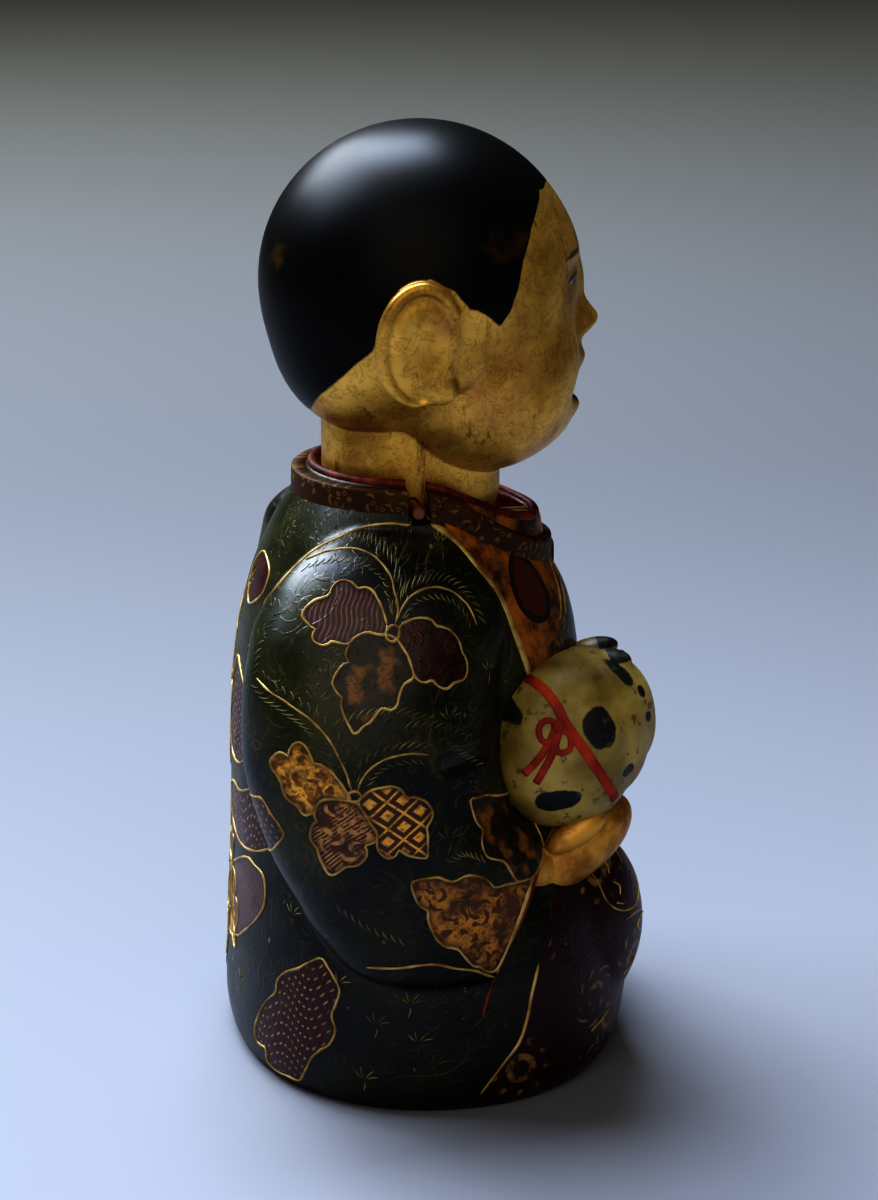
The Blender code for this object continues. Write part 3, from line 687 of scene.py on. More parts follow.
gold_green = robe_finish.mix(robe_finish.noise(45.0), (0.040, 0.042, 0.010), (0.14, 0.11, 0.026))
painted = robe_finish.mix(robe_finish.math("MULTIPLY", strokes, 0.4), ground, gold_green)
# Painted shade: the robe's colour is darkened towards the bottom, the edge of the darkening broken by the
# same blotchy noise as the ground tone.
higher = robe_finish.math("MULTIPLY", robe_finish.split(here)[1], 0.01)
clear_of_painted_shade = robe_finish.step(robe_finish.math("ADD", higher, patchy), 0.7, 1.6)
painted = robe_finish.mix(clear_of_painted_shade, robe_finish.mix(0.65, painted, (0.0018, 0.0016, 0.001)), painted)

filling_at = robe_finish.layer("filling")
is_kind = [robe_finish.math("COMPARE", filling_at, float(kind), 0.5) for kind in range(8)]
mottle = robe_finish.noise(170.0, detail=4.0, rough=0.7)
x_cloth, z_cloth = robe_finish.split(warped)[:2]
hatch = robe_finish.step(robe_finish.math("SINE", robe_finish.math(
    "ADD", robe_finish.math("MULTIPLY", x_cloth, 5.0), robe_finish.math("MULTIPLY", robe_finish.math(
        "SINE", robe_finish.math("MULTIPLY", z_cloth, 1.1)), 1.4))), 0.2, 0.8)
scroll = robe_finish.curls(warped, 5.6, 3, 0.7, 3.6, 0.85)
fine_dark = robe_finish.curls(robe_finish.scaled(warped, (1.0, 1.1, 0.0)), 3.6, 4, 0.5, 2.2, 0.8)
slants = [robe_finish.math("ABSOLUTE", robe_finish.math("SINE", robe_finish.math(
    "MULTIPLY", robe_finish.math(operation, x_cloth, z_cloth), 0.47))) for operation in ("ADD", "SUBTRACT")]
off_lines = robe_finish.math("MINIMUM", *slants)
lattice = robe_finish.math("SUBTRACT", 1.0, robe_finish.step(off_lines, 0.10, 0.24))
petals = robe_finish.step(off_lines, 0.70, 0.82)
lattice = robe_finish.math("MAXIMUM", lattice, petals)
row = robe_finish.math("SINE", robe_finish.math("MULTIPLY", robe_finish.math(
    "ADD", z_cloth, robe_finish.math("MULTIPLY", robe_finish.math(
        "SINE", robe_finish.math("MULTIPLY", x_cloth, 0.33)), 2.2)), 2.3))
bead = robe_finish.math("SINE", robe_finish.math("ADD", robe_finish.math("MULTIPLY", x_cloth, 3.1),
                                                 robe_finish.math("MULTIPLY", z_cloth, 1.3)))
beads = robe_finish.step(robe_finish.math("MULTIPLY", robe_finish.step(row, 0.45, 1.0),
                                          robe_finish.step(bead, -0.3, 0.8)), 0.30, 0.70)
clouds = robe_finish.step(robe_finish.math("ADD", robe_finish.noise(150.0, detail=5.0, rough=0.75, twist=1.5),
                                           robe_finish.math("MULTIPLY", scroll, -0.18)), 0.34, 0.58)
blotch = robe_finish.step(robe_finish.noise(115.0, detail=2.0), 0.50, 0.60)
veins = robe_finish.step(robe_finish.math("SINE", robe_finish.math("ADD", robe_finish.math(
    "MULTIPLY", robe_finish.math("ADD", x_cloth, z_cloth), 5.2), robe_finish.math(
        "MULTIPLY", robe_finish.noise(60.0), 9.0))), -0.3, 0.7)
veins = robe_finish.math("MULTIPLY", veins, robe_finish.step(robe_finish.noise(210.0), 0.40, 0.60))
kinds = (
    ((0.050, 0.020, 0.018), (0.17, 0.085, 0.070), hatch),
    ((0.018, 0.0025, 0.001), (0.085, 0.014, 0.006), veins),
    ((0.012, 0.011, 0.004), (0.20, 0.085, 0.012), blotch),
    ((0.20, 0.075, 0.009), (0.78, 0.42, 0.062), clouds),
    ((0.080, 0.028, 0.010), (0.46, 0.25, 0.090), robe_finish.math("MAXIMUM", scroll, veins)),
    ((0.070, 0.026, 0.008), (0.70, 0.38, 0.070), lattice),
    ((0.036, 0.004, 0.005), (0.34, 0.20, 0.085), beads),
    ((0.10, 0.036, 0.006), (0.44, 0.21, 0.034), robe_finish.step(robe_finish.math(
        "ADD", robe_finish.noise(120.0, detail=5.0, rough=0.7), robe_finish.math("MULTIPLY", scroll, -0.25)),
                                                                 0.36, 0.60)),
)
leaf_colour = (0.03, 0.03, 0.02)
for kind, (low, high, share) in zip(is_kind, kinds):
    leaf_colour = robe_finish.mix(kind, leaf_colour, robe_finish.mix(share, low, high))
leaf_colour = robe_finish.mix(robe_finish.math("MULTIPLY", robe_finish.step(mottle, 0.50, 0.66), 0.6),
                              leaf_colour, (0.040, 0.024, 0.013))
leaf_colour = robe_finish.mix(robe_finish.math("MULTIPLY", fine_dark, 0.5), leaf_colour, (0.05, 0.022, 0.01))
near_edge = robe_finish.math("SUBTRACT", 1.0, robe_finish.step(robe_finish.layer("leaf"), 0.4, 1.8))
leaf_colour = robe_finish.mix(robe_finish.math("MULTIPLY", near_edge, 0.6), leaf_colour, (0.02, 0.012, 0.008))
in_leaf = robe_finish.step(robe_finish.layer("leaf"), -0.1, 0.1)
painted = robe_finish.mix(in_leaf, painted, leaf_colour)

skirt_here = robe_finish.scaled(here, (1.0, 1.0, 0.0))
skirt_curl = robe_finish.curls(skirt_here, 22.0, 9, 6.0, 8.6, 0.55)
skirt_ground = robe_finish.mix(patchy, (0.008, 0.0012, 0.0016), (0.036, 0.004, 0.005))
skirt_colour = robe_finish.mix(robe_finish.math("MULTIPLY", skirt_curl, worn), skirt_ground,
                               (0.22, 0.13, 0.045))
painted = robe_finish.mix(robe_finish.step(robe_finish.layer("skirt"), -0.15, 0.15), painted, skirt_colour)

panel_ground = robe_finish.mix(robe_finish.step(robe_finish.noise(100.0, detail=5.0, rough=0.7), 0.36, 0.66),
                               (0.030, 0.009, 0.003), (0.36, 0.135, 0.016))
medal_in = robe_finish.layer("medal")
medal_heart = robe_finish.step(robe_finish.math("ADD", medal_in, robe_finish.math("MULTIPLY", mottle, 3.0)),
                               3.2, 3.8)
panel_colour = robe_finish.mix(robe_finish.step(medal_in, -0.1, 0.1), panel_ground,
                               robe_finish.mix(medal_heart, (0.022, 0.011, 0.006), (0.085, 0.018, 0.008)))
trim_colour = robe_finish.mix(scroll, (0.045, 0.020, 0.008), (0.20, 0.11, 0.035))
painted = robe_finish.mix(robe_finish.step(robe_finish.layer("trim"), -0.1, 0.1), painted, trim_colour)
painted = robe_finish.mix(robe_finish.step(robe_finish.layer("panel"), -0.15, 0.15), painted, panel_colour)
painted = robe_finish.mix(robe_finish.step(robe_finish.layer("lining"), -0.2, 0.2), painted,
                          robe_finish.mix(patchy, (0.10, 0.012, 0.008), (0.22, 0.028, 0.014)))
chips = robe_finish.step(robe_finish.noise(260.0, detail=3.0, rough=0.6), 0.70, 0.73)
painted = robe_finish.mix(robe_finish.math("MULTIPLY", chips, 0.8), painted, (0.20, 0.14, 0.085))
robe_finish.feed(robe_finish.shader.inputs["Base Color"], painted)
robe_finish.feed(robe_finish.shader.inputs["Roughness"], robe_finish.math(
    "ADD", robe_finish.math("MULTIPLY", robe_finish.noise(70.0, detail=4.0), 0.26), 0.22))
relief = robe_finish.math("ADD", robe_finish.math("MULTIPLY", strokes, 0.5),
                          robe_finish.math("MULTIPLY", patchy, 0.6))
robe_finish.bump(relief, 0.5, 0.0004)
body.data.materials.clear()
body.data.materials.append(robe_finish.material)
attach(body, "figure")
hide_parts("body")

# The collar is carved as folded brocade bands that stand proud of the robe: one round the nape and
# two lapels that cross on the chest. A lip of red lacquer runs round the open well for the neck.


def band(name, start, end, half_width, proud, steps):
    """A strip between two (degrees, height) places of the robe, its long edges rounded over."""
    rows = []
    lengths = []
    down = math.copysign(1.0, end[0] - start[0])
    section = ((1.0, -2.4), (1.0, 0.55), (0.94, 0.9), (0.8, 1.0), (0.4, 1.05), (0.0, 1.08), (-0.4, 1.05),
               (-0.8, 1.0), (-0.94, 0.9), (-1.0, 0.55), (-1.0, -2.4))
    length = 0.0
    last = None
    for share in np.linspace(0, 1, steps):
        angle = math.radians(start[0] + (end[0] - start[0]) * share)
        height = start[1] + (end[1] - start[1]) * share
        here = robe_point(angle, height)
        way = math.radians(end[0] - start[0]) * 0.01
        ahead = (robe_point(angle + way, height + (end[1] - start[1]) * 0.01)
                 - robe_point(angle - way, height - (end[1] - start[1]) * 0.01)).normalized()
        outward = (robe_point(angle, height, 1.0) - here).normalized()
        aside = ahead.cross(outward).normalized()
        length += (here - last).length if last else 0.0
        last = here
        lengths.append(length)
        rows.append([here + aside * half_width * out + outward * (proud * lift if lift > 0 else lift)
                     for out, lift in section])
    strip = loft(name, rows)
    paint(strip.data, "along", np.repeat(lengths, len(section)))
    paint(strip.data, "across", np.tile([out * down * half_width for out, lift in section], len(rows)))
    return strip


brocade = Finish("brown_gold_brocade", roughness=0.52, specular=0.22)
flat_band = brocade.joinedup(brocade.layer("along"), brocade.layer("across"))
figure_work = brocade.curls(flat_band, 5.2, 3, 0.9, 2.9, 0.65)
tone = brocade.noise(120.0, detail=4.0)
weave = brocade.mix(tone, (0.016, 0.007, 0.003), (0.090, 0.036, 0.010))
weave = brocade.mix(brocade.math("MULTIPLY", figure_work, 0.6), weave, (0.24, 0.13, 0.034))
edge_gold = brocade.step(brocade.layer("across"), 3.3, 3.6)
weave = brocade.mix(brocade.math("MULTIPLY", edge_gold, 0.8), weave, (0.42, 0.29, 0.10))
brocade.feed(brocade.shader.inputs["Base Color"], weave)
brocade.bump(brocade.math("ADD", figure_work, edge_gold), 0.6, 0.0003)
bands = [
    band("collar_left_lapel", (2.0, 147.4), (-100.0, 136.0), 4.0, 0.7, 150),
    band("collar_right_lapel", (178.0, 147.4), (282.0, 139.0), 4.0, 1.2, 150),
    band("collar_nape", (-8.0, 147.6), (188.0, 147.6), 4.2, 1.0, 260),
]
for strip in bands:
    cut(strip, well_cutters())
    strip.data.materials.append(brocade.material)
    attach(strip, "figure")

rim_turns = np.linspace(0, 2 * math.pi, 240, endpoint=False)
rows = []
for turn in rim_turns:
    inner = robe_point(turn, RIM_HEIGHT, -1.2)
    outward = (robe_point(turn, RIM_HEIGHT) - inner).normalized()
    rows.append([inner + 1.2 * (math.cos(bend) * outward + Vector((0, 0, math.sin(bend))))
                 for bend in np.linspace(0, 2 * math.pi, 20, endpoint=False)])
rim = loft("collar_rim", rows, ends=False)
cut(rim, notch_cutters())
red = Finish("red_lacquer", roughness=0.5, specular=0.25)
red_tone = red.mix(red.step(red.noise(140.0, detail=4.0), 0.35, 0.7), (0.055, 0.010, 0.006),
                   (0.24, 0.045, 0.022))
red.feed(red.shader.inputs["Base Color"], red_tone)
rim.data.materials.append(red.material)
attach(rim, "figure")

# Outlines of leaves, stems, seams and hems are raised lines. They are lacquer paste, laid on the
# finished robe in thin beads, gilded, and rubbed pale where hands have held the doll.
LINE_STEP = 0.8


def raised_line(points, half_width, height, flat_points=False):
    """A low rounded bead along places of the robe, its foot sunk in the lacquer."""
    rows = []
    smooth = points if flat_points else curve_through(spread(points), LINE_STEP)
    found = [on_robe(math.degrees(along / ROUND), up) for along, up in smooth]
    for index, (place, normal) in enumerate(found):
        ahead = found[min(index + 1, len(found) - 1)][0] - found[max(index - 1, 0)][0]
        if ahead.length < 1e-6:
            continue
        aside = ahead.cross(normal).normalized()
        taper = min(1.0, 0.35 + 0.25 * min(index, len(found) - 1 - index)) if len(found) > 4 else 1.0
        width = half_width * (taper if not np.allclose(smooth[0], smooth[-1]) else 1.0)
        width *= 1.0 + 0.16 * math.sin(index * 0.7 + place.z * 0.9)
        rows.append([place + aside * width * out + normal * height * lift
                     for out, lift in ((1.0, -1.2), (0.86, 0.35), (0.45, 0.9), (0, 1), (-0.45, 0.9),
                                       (-0.86, 0.35), (-1.0, -1.2))])
    return loft("line_form", rows)


def other_side(path, mirror=180):
    """The same path on the figure's left side."""
    return [(mirror - angle, height) for angle, height in path]


def ring_line(centre, radius):
    turns_round = np.linspace(0, 2 * math.pi, 25)
    middle = spread([centre])[0]
    return np.stack([middle[0] + radius * np.cos(turns_round), middle[1] + radius * np.sin(turns_round)], 1)


def commas(path, gap, length, lean, side):
    """Short curved strokes set like the teeth of a comb along one side of a stem."""
    smooth = curve_through(spread(path), gap)
    strokes_made = []
    for before, place, after in zip(smooth, smooth[1:], smooth[2:]):
        ahead = (after - before) / max(np.linalg.norm(after - before), 1e-6)
        aside = side * np.array([-ahead[1], ahead[0]])
        root = place + aside * 1.3
        way = aside * math.cos(lean) + ahead * math.sin(lean)
        bend = ahead * math.cos(lean) - aside * math.sin(lean)
        strokes_made.append(raised_line([root + way * length * share + bend * length * 0.35 * share**2
                                         for share in (0, 0.25, 0.5, 0.75, 1)], 0.24, 0.14, flat_points=True))
    return strokes_made


def sprig(centre):
    middle = spread([centre])[0]
    leaves = []
    for turn in (30, 62, 118, 150, 268):
        way = np.array([math.cos(math.radians(turn)), math.sin(math.radians(turn))])
        bend = np.array([-way[1], way[0]]) * 0.7
        leaves.append(raised_line([middle + way * (0.8 + 2.6 * share) + bend * share**2
                                   for share in (0, 0.25, 0.5, 0.75, 1)], 0.24, 0.10, flat_points=True))
    return leaves


lines = [raised_line(loop, 0.36, 0.30, flat_points=True) for fill, loop in outlines]
lines += [raised_line(ring_line(centre, radius), 0.4, 0.36, flat_points=True)
          for centre, radius in (((18.3, 123.7), 1.7), ((24.9, 86.8), 1.3), ((104, 95), 1.6), ((96, 45), 1.5),
                                 ((152, 111), 1.6), ((168, 73), 1.5))]
STEMS = (
    ((18, 125.4), (17.4, 128), (17.7, 130.1), (18.6, 131.9), (20, 134.9), (22.1, 136.7), (24.5, 138.1),
     (27.1, 139.1), (32, 140), (36.5, 140.1), (40.4, 139.6), (43.8, 138.8), (47.4, 137.2)),
    ((18, 125.4), (16.9, 128), (16, 129.3), (14.7, 130.7), (13, 131.6), (11.3, 132.1), (9.2, 132.4),
     (6.7, 132.4), (4.5, 132), (2.3, 131.3), (0.5, 130.4), (-1.2, 129.1), (-2.6, 127.9), (-3.6, 126.3),
     (-4.3, 124.7), (-4.7, 123.1)),
    ((25.2, 88), (25.8, 89.6), (26.6, 92.8), (28.1, 96.4), (29.8, 99.9), (32, 102.8), (34.5, 105.2),
     (37.7, 107.2), (40.3, 108.6), (44, 110), (48, 112)),
    ((24.3, 87.8), (23.7, 90.5), (22, 93.3), (19.4, 95.3), (16.2, 96.2), (12.8, 96.3), (9.7, 95.5)),
    ((104, 96.6), (103, 106), (98, 118), (90, 126)),
    ((104, 96.6), (108, 104), (116, 122), (128, 130)), ((96, 43.5), (97, 30), (104, 18), (114, 14)),
    ((152, 112.6), (152, 120), (146, 132)), ((168, 71.5), (164, 60), (158, 50), (150, 46)),
)
lines += [raised_line(stem, 0.32, 0.28) for stem in STEMS]
SEAMS = (
    ((79.7, 108), (62, 122), (54, 129), (51, 134), (48.2, 138.4), (44, 140.8), (35.4, 143.2),
     (24.8, 144.2), (16.8, 144), (6.7, 144.6)),
    ((23.7, 40.6), (16.4, 41.2), (11.7, 42), (8, 42), (3.9, 40.6), (-0.7, 39.4), (-3.6, 37.6), (-6.2, 36)),
    ((-6.6, 37), (-9.3, 46), (-13.5, 56), (-17, 61.5)),
)
lines += [raised_line(seam, 0.40, 0.32) for seam in SEAMS]
lines += [raised_line(other_side(seam), 0.40, 0.32) for seam in SEAMS]
chest = ((6.7, 144), (0.5, 142.2), (-5.1, 139), (-10.2, 134.3), (-16.7, 128.2), (-19.4, 123), (-21.6, 116),
         (-26, 104))
lines.append(raised_line(chest, 0.9, 0.4))
far_strip = ((-46, 117), (-56, 122.5), (-66, 128), (-76, 134), (-84, 140))
for shift in (0.0, 6.6):
    lines.append(raised_line([(angle - shift, height) for angle, height in far_strip], 0.32, 0.3))
skirt_edge = ((-18, 37), (-15.6, 30), (-14.3, 24), (-12.2, 18), (-8.6, 13.4), (-5.4, 9.2), (-2.6, 5))
roundel = ((-42, 52), (-40, 56), (-42, 59.6), (-50, 60.4), (-58, 57.6), (-62, 52.7), (-62, 46), (-56, 42),
           (-48, 42.4), (-43, 46), (-42, 52))
lap_strokes = (
    ((-46, 56), (-48, 54), (-47, 52)), ((-47, 50), (-49, 48.5), (-48, 46.5)), ((-46, 45), (-48.5, 44)),
    ((-53, 57), (-56, 55), (-55, 52)), ((-35, 14), (-39, 15), (-44, 16.7)),
    ((-48.5, 40), (-54, 40), (-59, 38.6)), ((-58, 33), (-54, 36), (-58, 38), (-63, 36)),
    ((-50, 30), (-54, 27), (-50, 24)), ((-70, 26), (-66, 22)),
)
for edge, half_width in ((skirt_edge, 0.45), (roundel, 0.28), *((stroke, 0.28) for stroke in lap_strokes)):
    lines.append(raised_line(edge, half_width, 0.3))
    lines.append(raised_line(other_side(edge, -180), half_width, 0.3))
goldwork = joined("raised_gold_lines", lines)
gold = Finish("rubbed_gold", roughness=0.45, metallic=0.25)
gold_tone = gold.mix(gold.step(gold.noise(160.0, detail=4.0), 0.3, 0.7), (0.20, 0.11, 0.022),
                     (0.56, 0.40, 0.15))
gold.feed(gold.shader.inputs["Base Color"], gold_tone)
goldwork.data.materials.append(gold.material)
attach(goldwork, "figure")

# The edge of each sleeve's opening is lined in red, a thin red line that shows from under the hand to
# the hem and down the gap beside the skirt.
OPENING_EDGE = ((-18.5, 62), (-14.5, 55), (-10.4, 46), (-7.4, 38), (-5.4, 33.5), (-4.1, 30), (-3.0, 26))
red_edge = joined("red_sleeve_edges", [raised_line(edge, 0.42, 0.42)
                                       for edge in (OPENING_EDGE, other_side(OPENING_EDGE))])
red_edge.data.materials.append(red.material)
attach(red_edge, "figure")

# Between the leaves the cloth is strewn with small comma strokes and sprigs. They are brushed on in
# dull olive gold lacquer, thinner and lower than the raised lines.
SPRIGS = ((48, 46.7), (32, 33), (25, 9), (75, 140), (33, 109), (4.5, 103), (5, 74), (31, 114), (14, 30),
          (8, 14), (120, 90), (134, 66), (118, 50), (86, 82), (160, 100), (180, 110), (186, 82), (190, 28),
          (160, 26), (76, 20), (124, 10), (-8, 112), (3, 140), (12, 20), (22, 24), (196, 66))
strokes_made = []
for path, gap, length, lean, side in (
    (STEMS[0], 1.7, 2.6, 0.7, 1), (STEMS[0], 2.1, 2.0, 0.7, -1), (STEMS[1], 1.5, 3.0, 0.7, -1),
    (STEMS[1], 2.0, 2.0, 0.6, 1), (STEMS[2], 1.7, 2.6, 0.7, -1), (STEMS[2], 2.0, 2.0, 0.6, 1),
    (STEMS[3], 1.5, 2.8, 0.7, -1), (STEMS[3], 1.9, 2.0, 0.6, 1),
    (((30, 101), (24, 104), (17, 104.5), (10, 102)), 1.5, 2.8, 0.6, -1),
    (((18, 100), (12, 101), (6, 99.5), (0, 96)), 1.5, 2.6, 0.6, -1),
    (((8, 98), (2, 92), (-3, 88)), 1.5, 2.4, 0.6, -1), (((8, 70), (2, 72), (-4, 70)), 1.4, 2.4, 0.5, 1),
    (((44, 128), (47, 120), (47, 112)), 1.6, 2.2, 0.5, 1), (((30, 60), (22, 54), (14, 50)), 1.8, 2.4, 0.6, 1),
    *((stem, 2.0, 2.4, 0.6, side) for stem in STEMS[4:] for side in (-1, 1)),
):
    strokes_made += commas(path, gap, length, lean, side)
for centre in SPRIGS:
    strokes_made += sprig(centre)
commas_piece = joined("brushed_strokes", strokes_made)
dull_gold = Finish("olive_gold_strokes", roughness=0.5)
olive = dull_gold.step(dull_gold.noise(110.0, detail=4.0), 0.35, 0.65)
dull_gold.feed(dull_gold.shader.inputs["Base Color"],
               dull_gold.mix(olive, (0.030, 0.030, 0.008), (0.24, 0.20, 0.060)))
commas_piece.data.materials.append(dull_gold.material)
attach(commas_piece, "figure")

# Both hands come out of the sleeves and lie under the puppy, their fingers close together. They are
# carved with the body and gilded, and the gold is worn brown in places.
fingers = []
for index, (spread_out, length, thick) in enumerate(((-4.6, 7.4, 2.9), (-1.6, 8.6, 3.1), (1.7, 8.4, 3.1),
                                                     (4.8, 7.0, 2.8))):
    fingers.append(egg((-37.5 + spread_out * 1.15, -38.5 + abs(spread_out) * 0.4, 64.4), (thick, length, 3.0),
                       (-34, 0, 13), 2.2))
right_hand = [egg((-38, -30, 61), (10, 19, 9.5), (-28, 0, 14)), *fingers,
              egg((-46.5, -30, 67.5), (3.4, 8.8, 3.6), (-30, 0, 4)),
              egg((-41, -17, 57), (9.5, 12, 9.0), (-20, 0, 8))]
left_hand = [egg((0, -43, 68.5), (8, 16, 8), (-6, 0, -66))]
for index in range(4):
    left_hand.append(egg((-9.5 - index * 0.4, -47.0 + index * 1.2, 64.6 + index * 3.1), (2.6, 7.2, 2.3),
                         (0, 0, -78), 2.2))
hands = fused("gilded_hands", right_hand + left_hand, 0.5, 3)
gilt = Finish("worn_gilding", roughness=0.40, metallic=0.30, coat=0.05)
tired = gilt.noise(75.0, detail=5.0, rough=0.65)
hand_tone = gilt.mix(gilt.step(tired, 0.35, 0.65), (0.30, 0.135, 0.018), (0.66, 0.37, 0.075))
dirt = gilt.step(gilt.noise(210.0, detail=4.0, rough=0.7), 0.60, 0.72)
hand_tone = gilt.mix(gilt.math("MULTIPLY", dirt, 0.6), hand_tone, (0.12, 0.065, 0.022))
gilt.feed(gilt.shader.inputs["Base Color"], hand_tone)
gilt.bump(tired, 0.35, 0.0004)
hands.data.materials.append(gilt.material)
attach(hands, "figure")

# The puppy lies in the crook of the right arm. It is carved with the body, but coated in cream, with
# dark spots brushed on and the coat rubbed to ochre and red on its high places.
puppy = fused("spotted_puppy", [
    egg((-34, -27.4, 88), (21.3, 19.6, 21.8), (0, 0, 0), 2.3, 50, 80),
    egg((-29, -39.6, 92), (17.5, 13.8, 15.2), (-6, 0, 0), 2.3, 46, 70),
    egg((-28.5, -48.2, 93.5), (8.5, 5.2, 7.0)),
    egg((-31.5, -33.8, 90), (19.8, 17.4, 19.2), (0, 0, 0), 2.3, 50, 80),
    egg((-31.5, -40.5, 105.5), (4.8, 7.0, 3.0), (-8, -22, 0)),
    egg((-19.0, -40.5, 105.5), (4.8, 7.0, 3.0), (-8, 22, 0)),
    egg((-34, -36.5, 72), (5.0, 7.0, 4.5)),
    egg((-17, -40, 73), (5.0, 7.0, 4.5)),
    egg((-28.5, -52.2, 96.2), (2.4, 1.4, 1.7)),
    egg((-26.0, -45.8, 105.2), (2.2, 2.2, 2.0)),
], 0.6, 6)
fur = corners_of(puppy.data)
PUPPY_ROUND = 46.0
SPOTS = ((-13.5, 102.4, 3.4, 5.6), (-32.5, 96.4, 3.3, 5.0), (-23.5, 78.6, 3.7, 3.3), (-46.9, 105.5, 2.4, 2.6),
         (-49, 101, 1.4, 1.4), (-48.6, 95.0, 1.4, 1.4), (-40.6, 83.5, 2.0, 1.7), (-68, 84, 5, 4),
         (-4, 90, 4, 5), (-62, 97, 2.6, 3.2), (-73, 104.5, 3.2, 2.4))
fur_turn = np.degrees(np.arctan2(fur[:, 1], -fur[:, 0]))
spot = np.full(len(fur), -5.0)
for angle, height, wide, tall in SPOTS:
    reach = np.hypot(np.radians(fur_turn - angle) * PUPPY_ROUND / wide, (fur[:, 2] - height) / tall)
    spot = np.maximum(spot, (1 - reach) * min(wide, tall))
spot = np.maximum(spot, np.where(fur[:, 1] < -41, np.minimum(fur[:, 2] - 106.8, 2.0), -5.0))
knob = 2.2 - np.linalg.norm(fur - np.array([-26.0, -45.8, 105.6]), axis=1)
spot = np.maximum(spot, knob)
paint(puppy.data, "spot", spot)
coat = Finish("cream_coat", roughness=0.48, coat=0.05)
cream = coat.mix(coat.step(coat.noise(55.0, detail=4.0), 0.3, 0.7), (0.16, 0.112, 0.019),
                 (0.42, 0.325, 0.100))
freckles = coat.step(coat.noise(330.0, detail=2.0), 0.60, 0.67)
cream = coat.mix(coat.math("MULTIPLY", freckles, 0.75), cream, (0.105, 0.065, 0.028))
rubbed = coat.step(coat.noise(42.0, detail=3.0), 0.66, 0.74)
cream = coat.mix(coat.math("MULTIPLY", rubbed, 0.7), cream, (0.40, 0.17, 0.05))
dark = coat.step(coat.math("ADD", coat.layer("spot"), coat.math("MULTIPLY", coat.math(
    "SUBTRACT", coat.noise(160.0), 0.5), 2.2)), -0.15, 0.25)
cream = coat.mix(dark, cream, coat.mix(freckles, (0.012, 0.013, 0.012), (0.06, 0.055, 0.04)))
coat.feed(coat.shader.inputs["Base Color"], cream)
coat.bump(coat.noise(120.0, detail=4.0), 0.4, 0.0005)
puppy.data.materials.append(coat.material)
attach(puppy, "figure")

# A ribbon runs round the puppy's neck, with a bow at its side. It is carved with the puppy in low
# relief and painted matt red.
RIBBON_STEP = 0.7
on_puppy = surface_of([puppy])


def ribbon(points, half_width, height):
    """A strap on the puppy along (degrees, height) places round the figure."""
    rows = []
    smooth = curve_through([(math.radians(angle) * PUPPY_ROUND, up) for angle, up in points], RIBBON_STEP)
    found = []
    for along, up in smooth:
        turn = along / PUPPY_ROUND
        way = Vector((math.cos(turn), -math.sin(turn), 0.0))
        place, normal = on_puppy.ray_cast(Vector((0, 0, up * MM)) - way * 0.12, way)[:2]
        if place is not None:
            found.append((place / MM, normal))
    for index, (place, normal) in enumerate(found):
        ahead = found[min(index + 1, len(found) - 1)][0] - found[max(index - 1, 0)][0]
        aside = ahead.cross(normal).normalized()
        rows.append([place + aside * half_width * out + normal * height * lift
                     for out, lift in ((1.0, -1.6), (0.92, 0.6), (0.6, 1.0), (0, 1.12), (-0.6, 1.0),
                                       (-0.92, 0.6), (-1.0, -1.6))])
    return loft("ribbon_form", rows)


straps = [
    ribbon(((-20, 111), (-23.5, 106.5), (-24.6, 102), (-25.2, 97.9), (-29, 90), (-33, 83), (-38, 76.5)),
           1.35, 0.38),
    ribbon(((-23.6, 98.2), (-21.6, 99.2), (-19.6, 97.2), (-19.8, 94.4), (-21.8, 94.2), (-23.4, 96.8)),
           0.8, 0.5),
    ribbon(((-23.8, 97.4), (-25.4, 95.6), (-25.0, 92.2), (-22.8, 91.6), (-22.4, 94.2), (-23.8, 97)),
           0.8, 0.5),
    ribbon(((-22.6, 97), (-20.6, 93), (-18.4, 89), (-16.4, 85.6)), 1.0, 0.42),
    ribbon(((-23.2, 96.6), (-21.6, 91.6), (-19.8, 87), (-18.6, 83.6)), 1.0, 0.42),
]
before_knot = Vector((-0.11, -0.048, 0.0978))
inward = Vector((0.915, 0.40, 0))
knot_place = on_puppy.ray_cast(before_knot, inward)[0]
straps.append(egg(knot_place / MM, (1.2, 1.8, 1.9)))
bow = joined("puppy_ribbon", straps)
ribbon_red = Finish("matt_red_ribbon", roughness=0.6, specular=0.3)
faded = ribbon_red.step(ribbon_red.noise(120.0, detail=4.0), 0.35, 0.65)
ribbon_red.feed(ribbon_red.shader.inputs["Base Color"],
                ribbon_red.mix(faded, (0.22, 0.026, 0.012), (0.44, 0.062, 0.028)))
bow.data.materials.append(ribbon_red.material)
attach(bow, "figure")

# Head and neck are one carving, gilded, with the hair cap in black lacquer. The hair's edge runs from
# the forehead to a sideburn before each ear, and behind the ear down to the nape.
HEAD_HEART = Vector((0.0, -3.0, 190.0))
SKULL_LOBES = (
    (Vector((0.0, 0.2, 199.4)), (36.2, 39.6, 38.3), 2.0),
    (Vector((0.0, -12.2, 177.4)), (31.5, 26.4, 27.4), 2.2),
    (Vector((0.0, 8.5, 187.0)), (30.0, 27.6, 26.0), 2.3),
)


def lobe_reach(ways, centre, radii, power):
    low = np.zeros(len(ways))
    high = np.full(len(ways), 120.0)
    for _ in range(26):
        middle = (low + high) / 2
        place = np.array(HEAD_HEART) + ways * middle[:, None] - np.array(centre)
        inside = (np.abs(place / np.array(radii)) ** power).sum(1) < 1.0
        low = np.where(inside, middle, low)
        high = np.where(inside, high, middle)
    return low


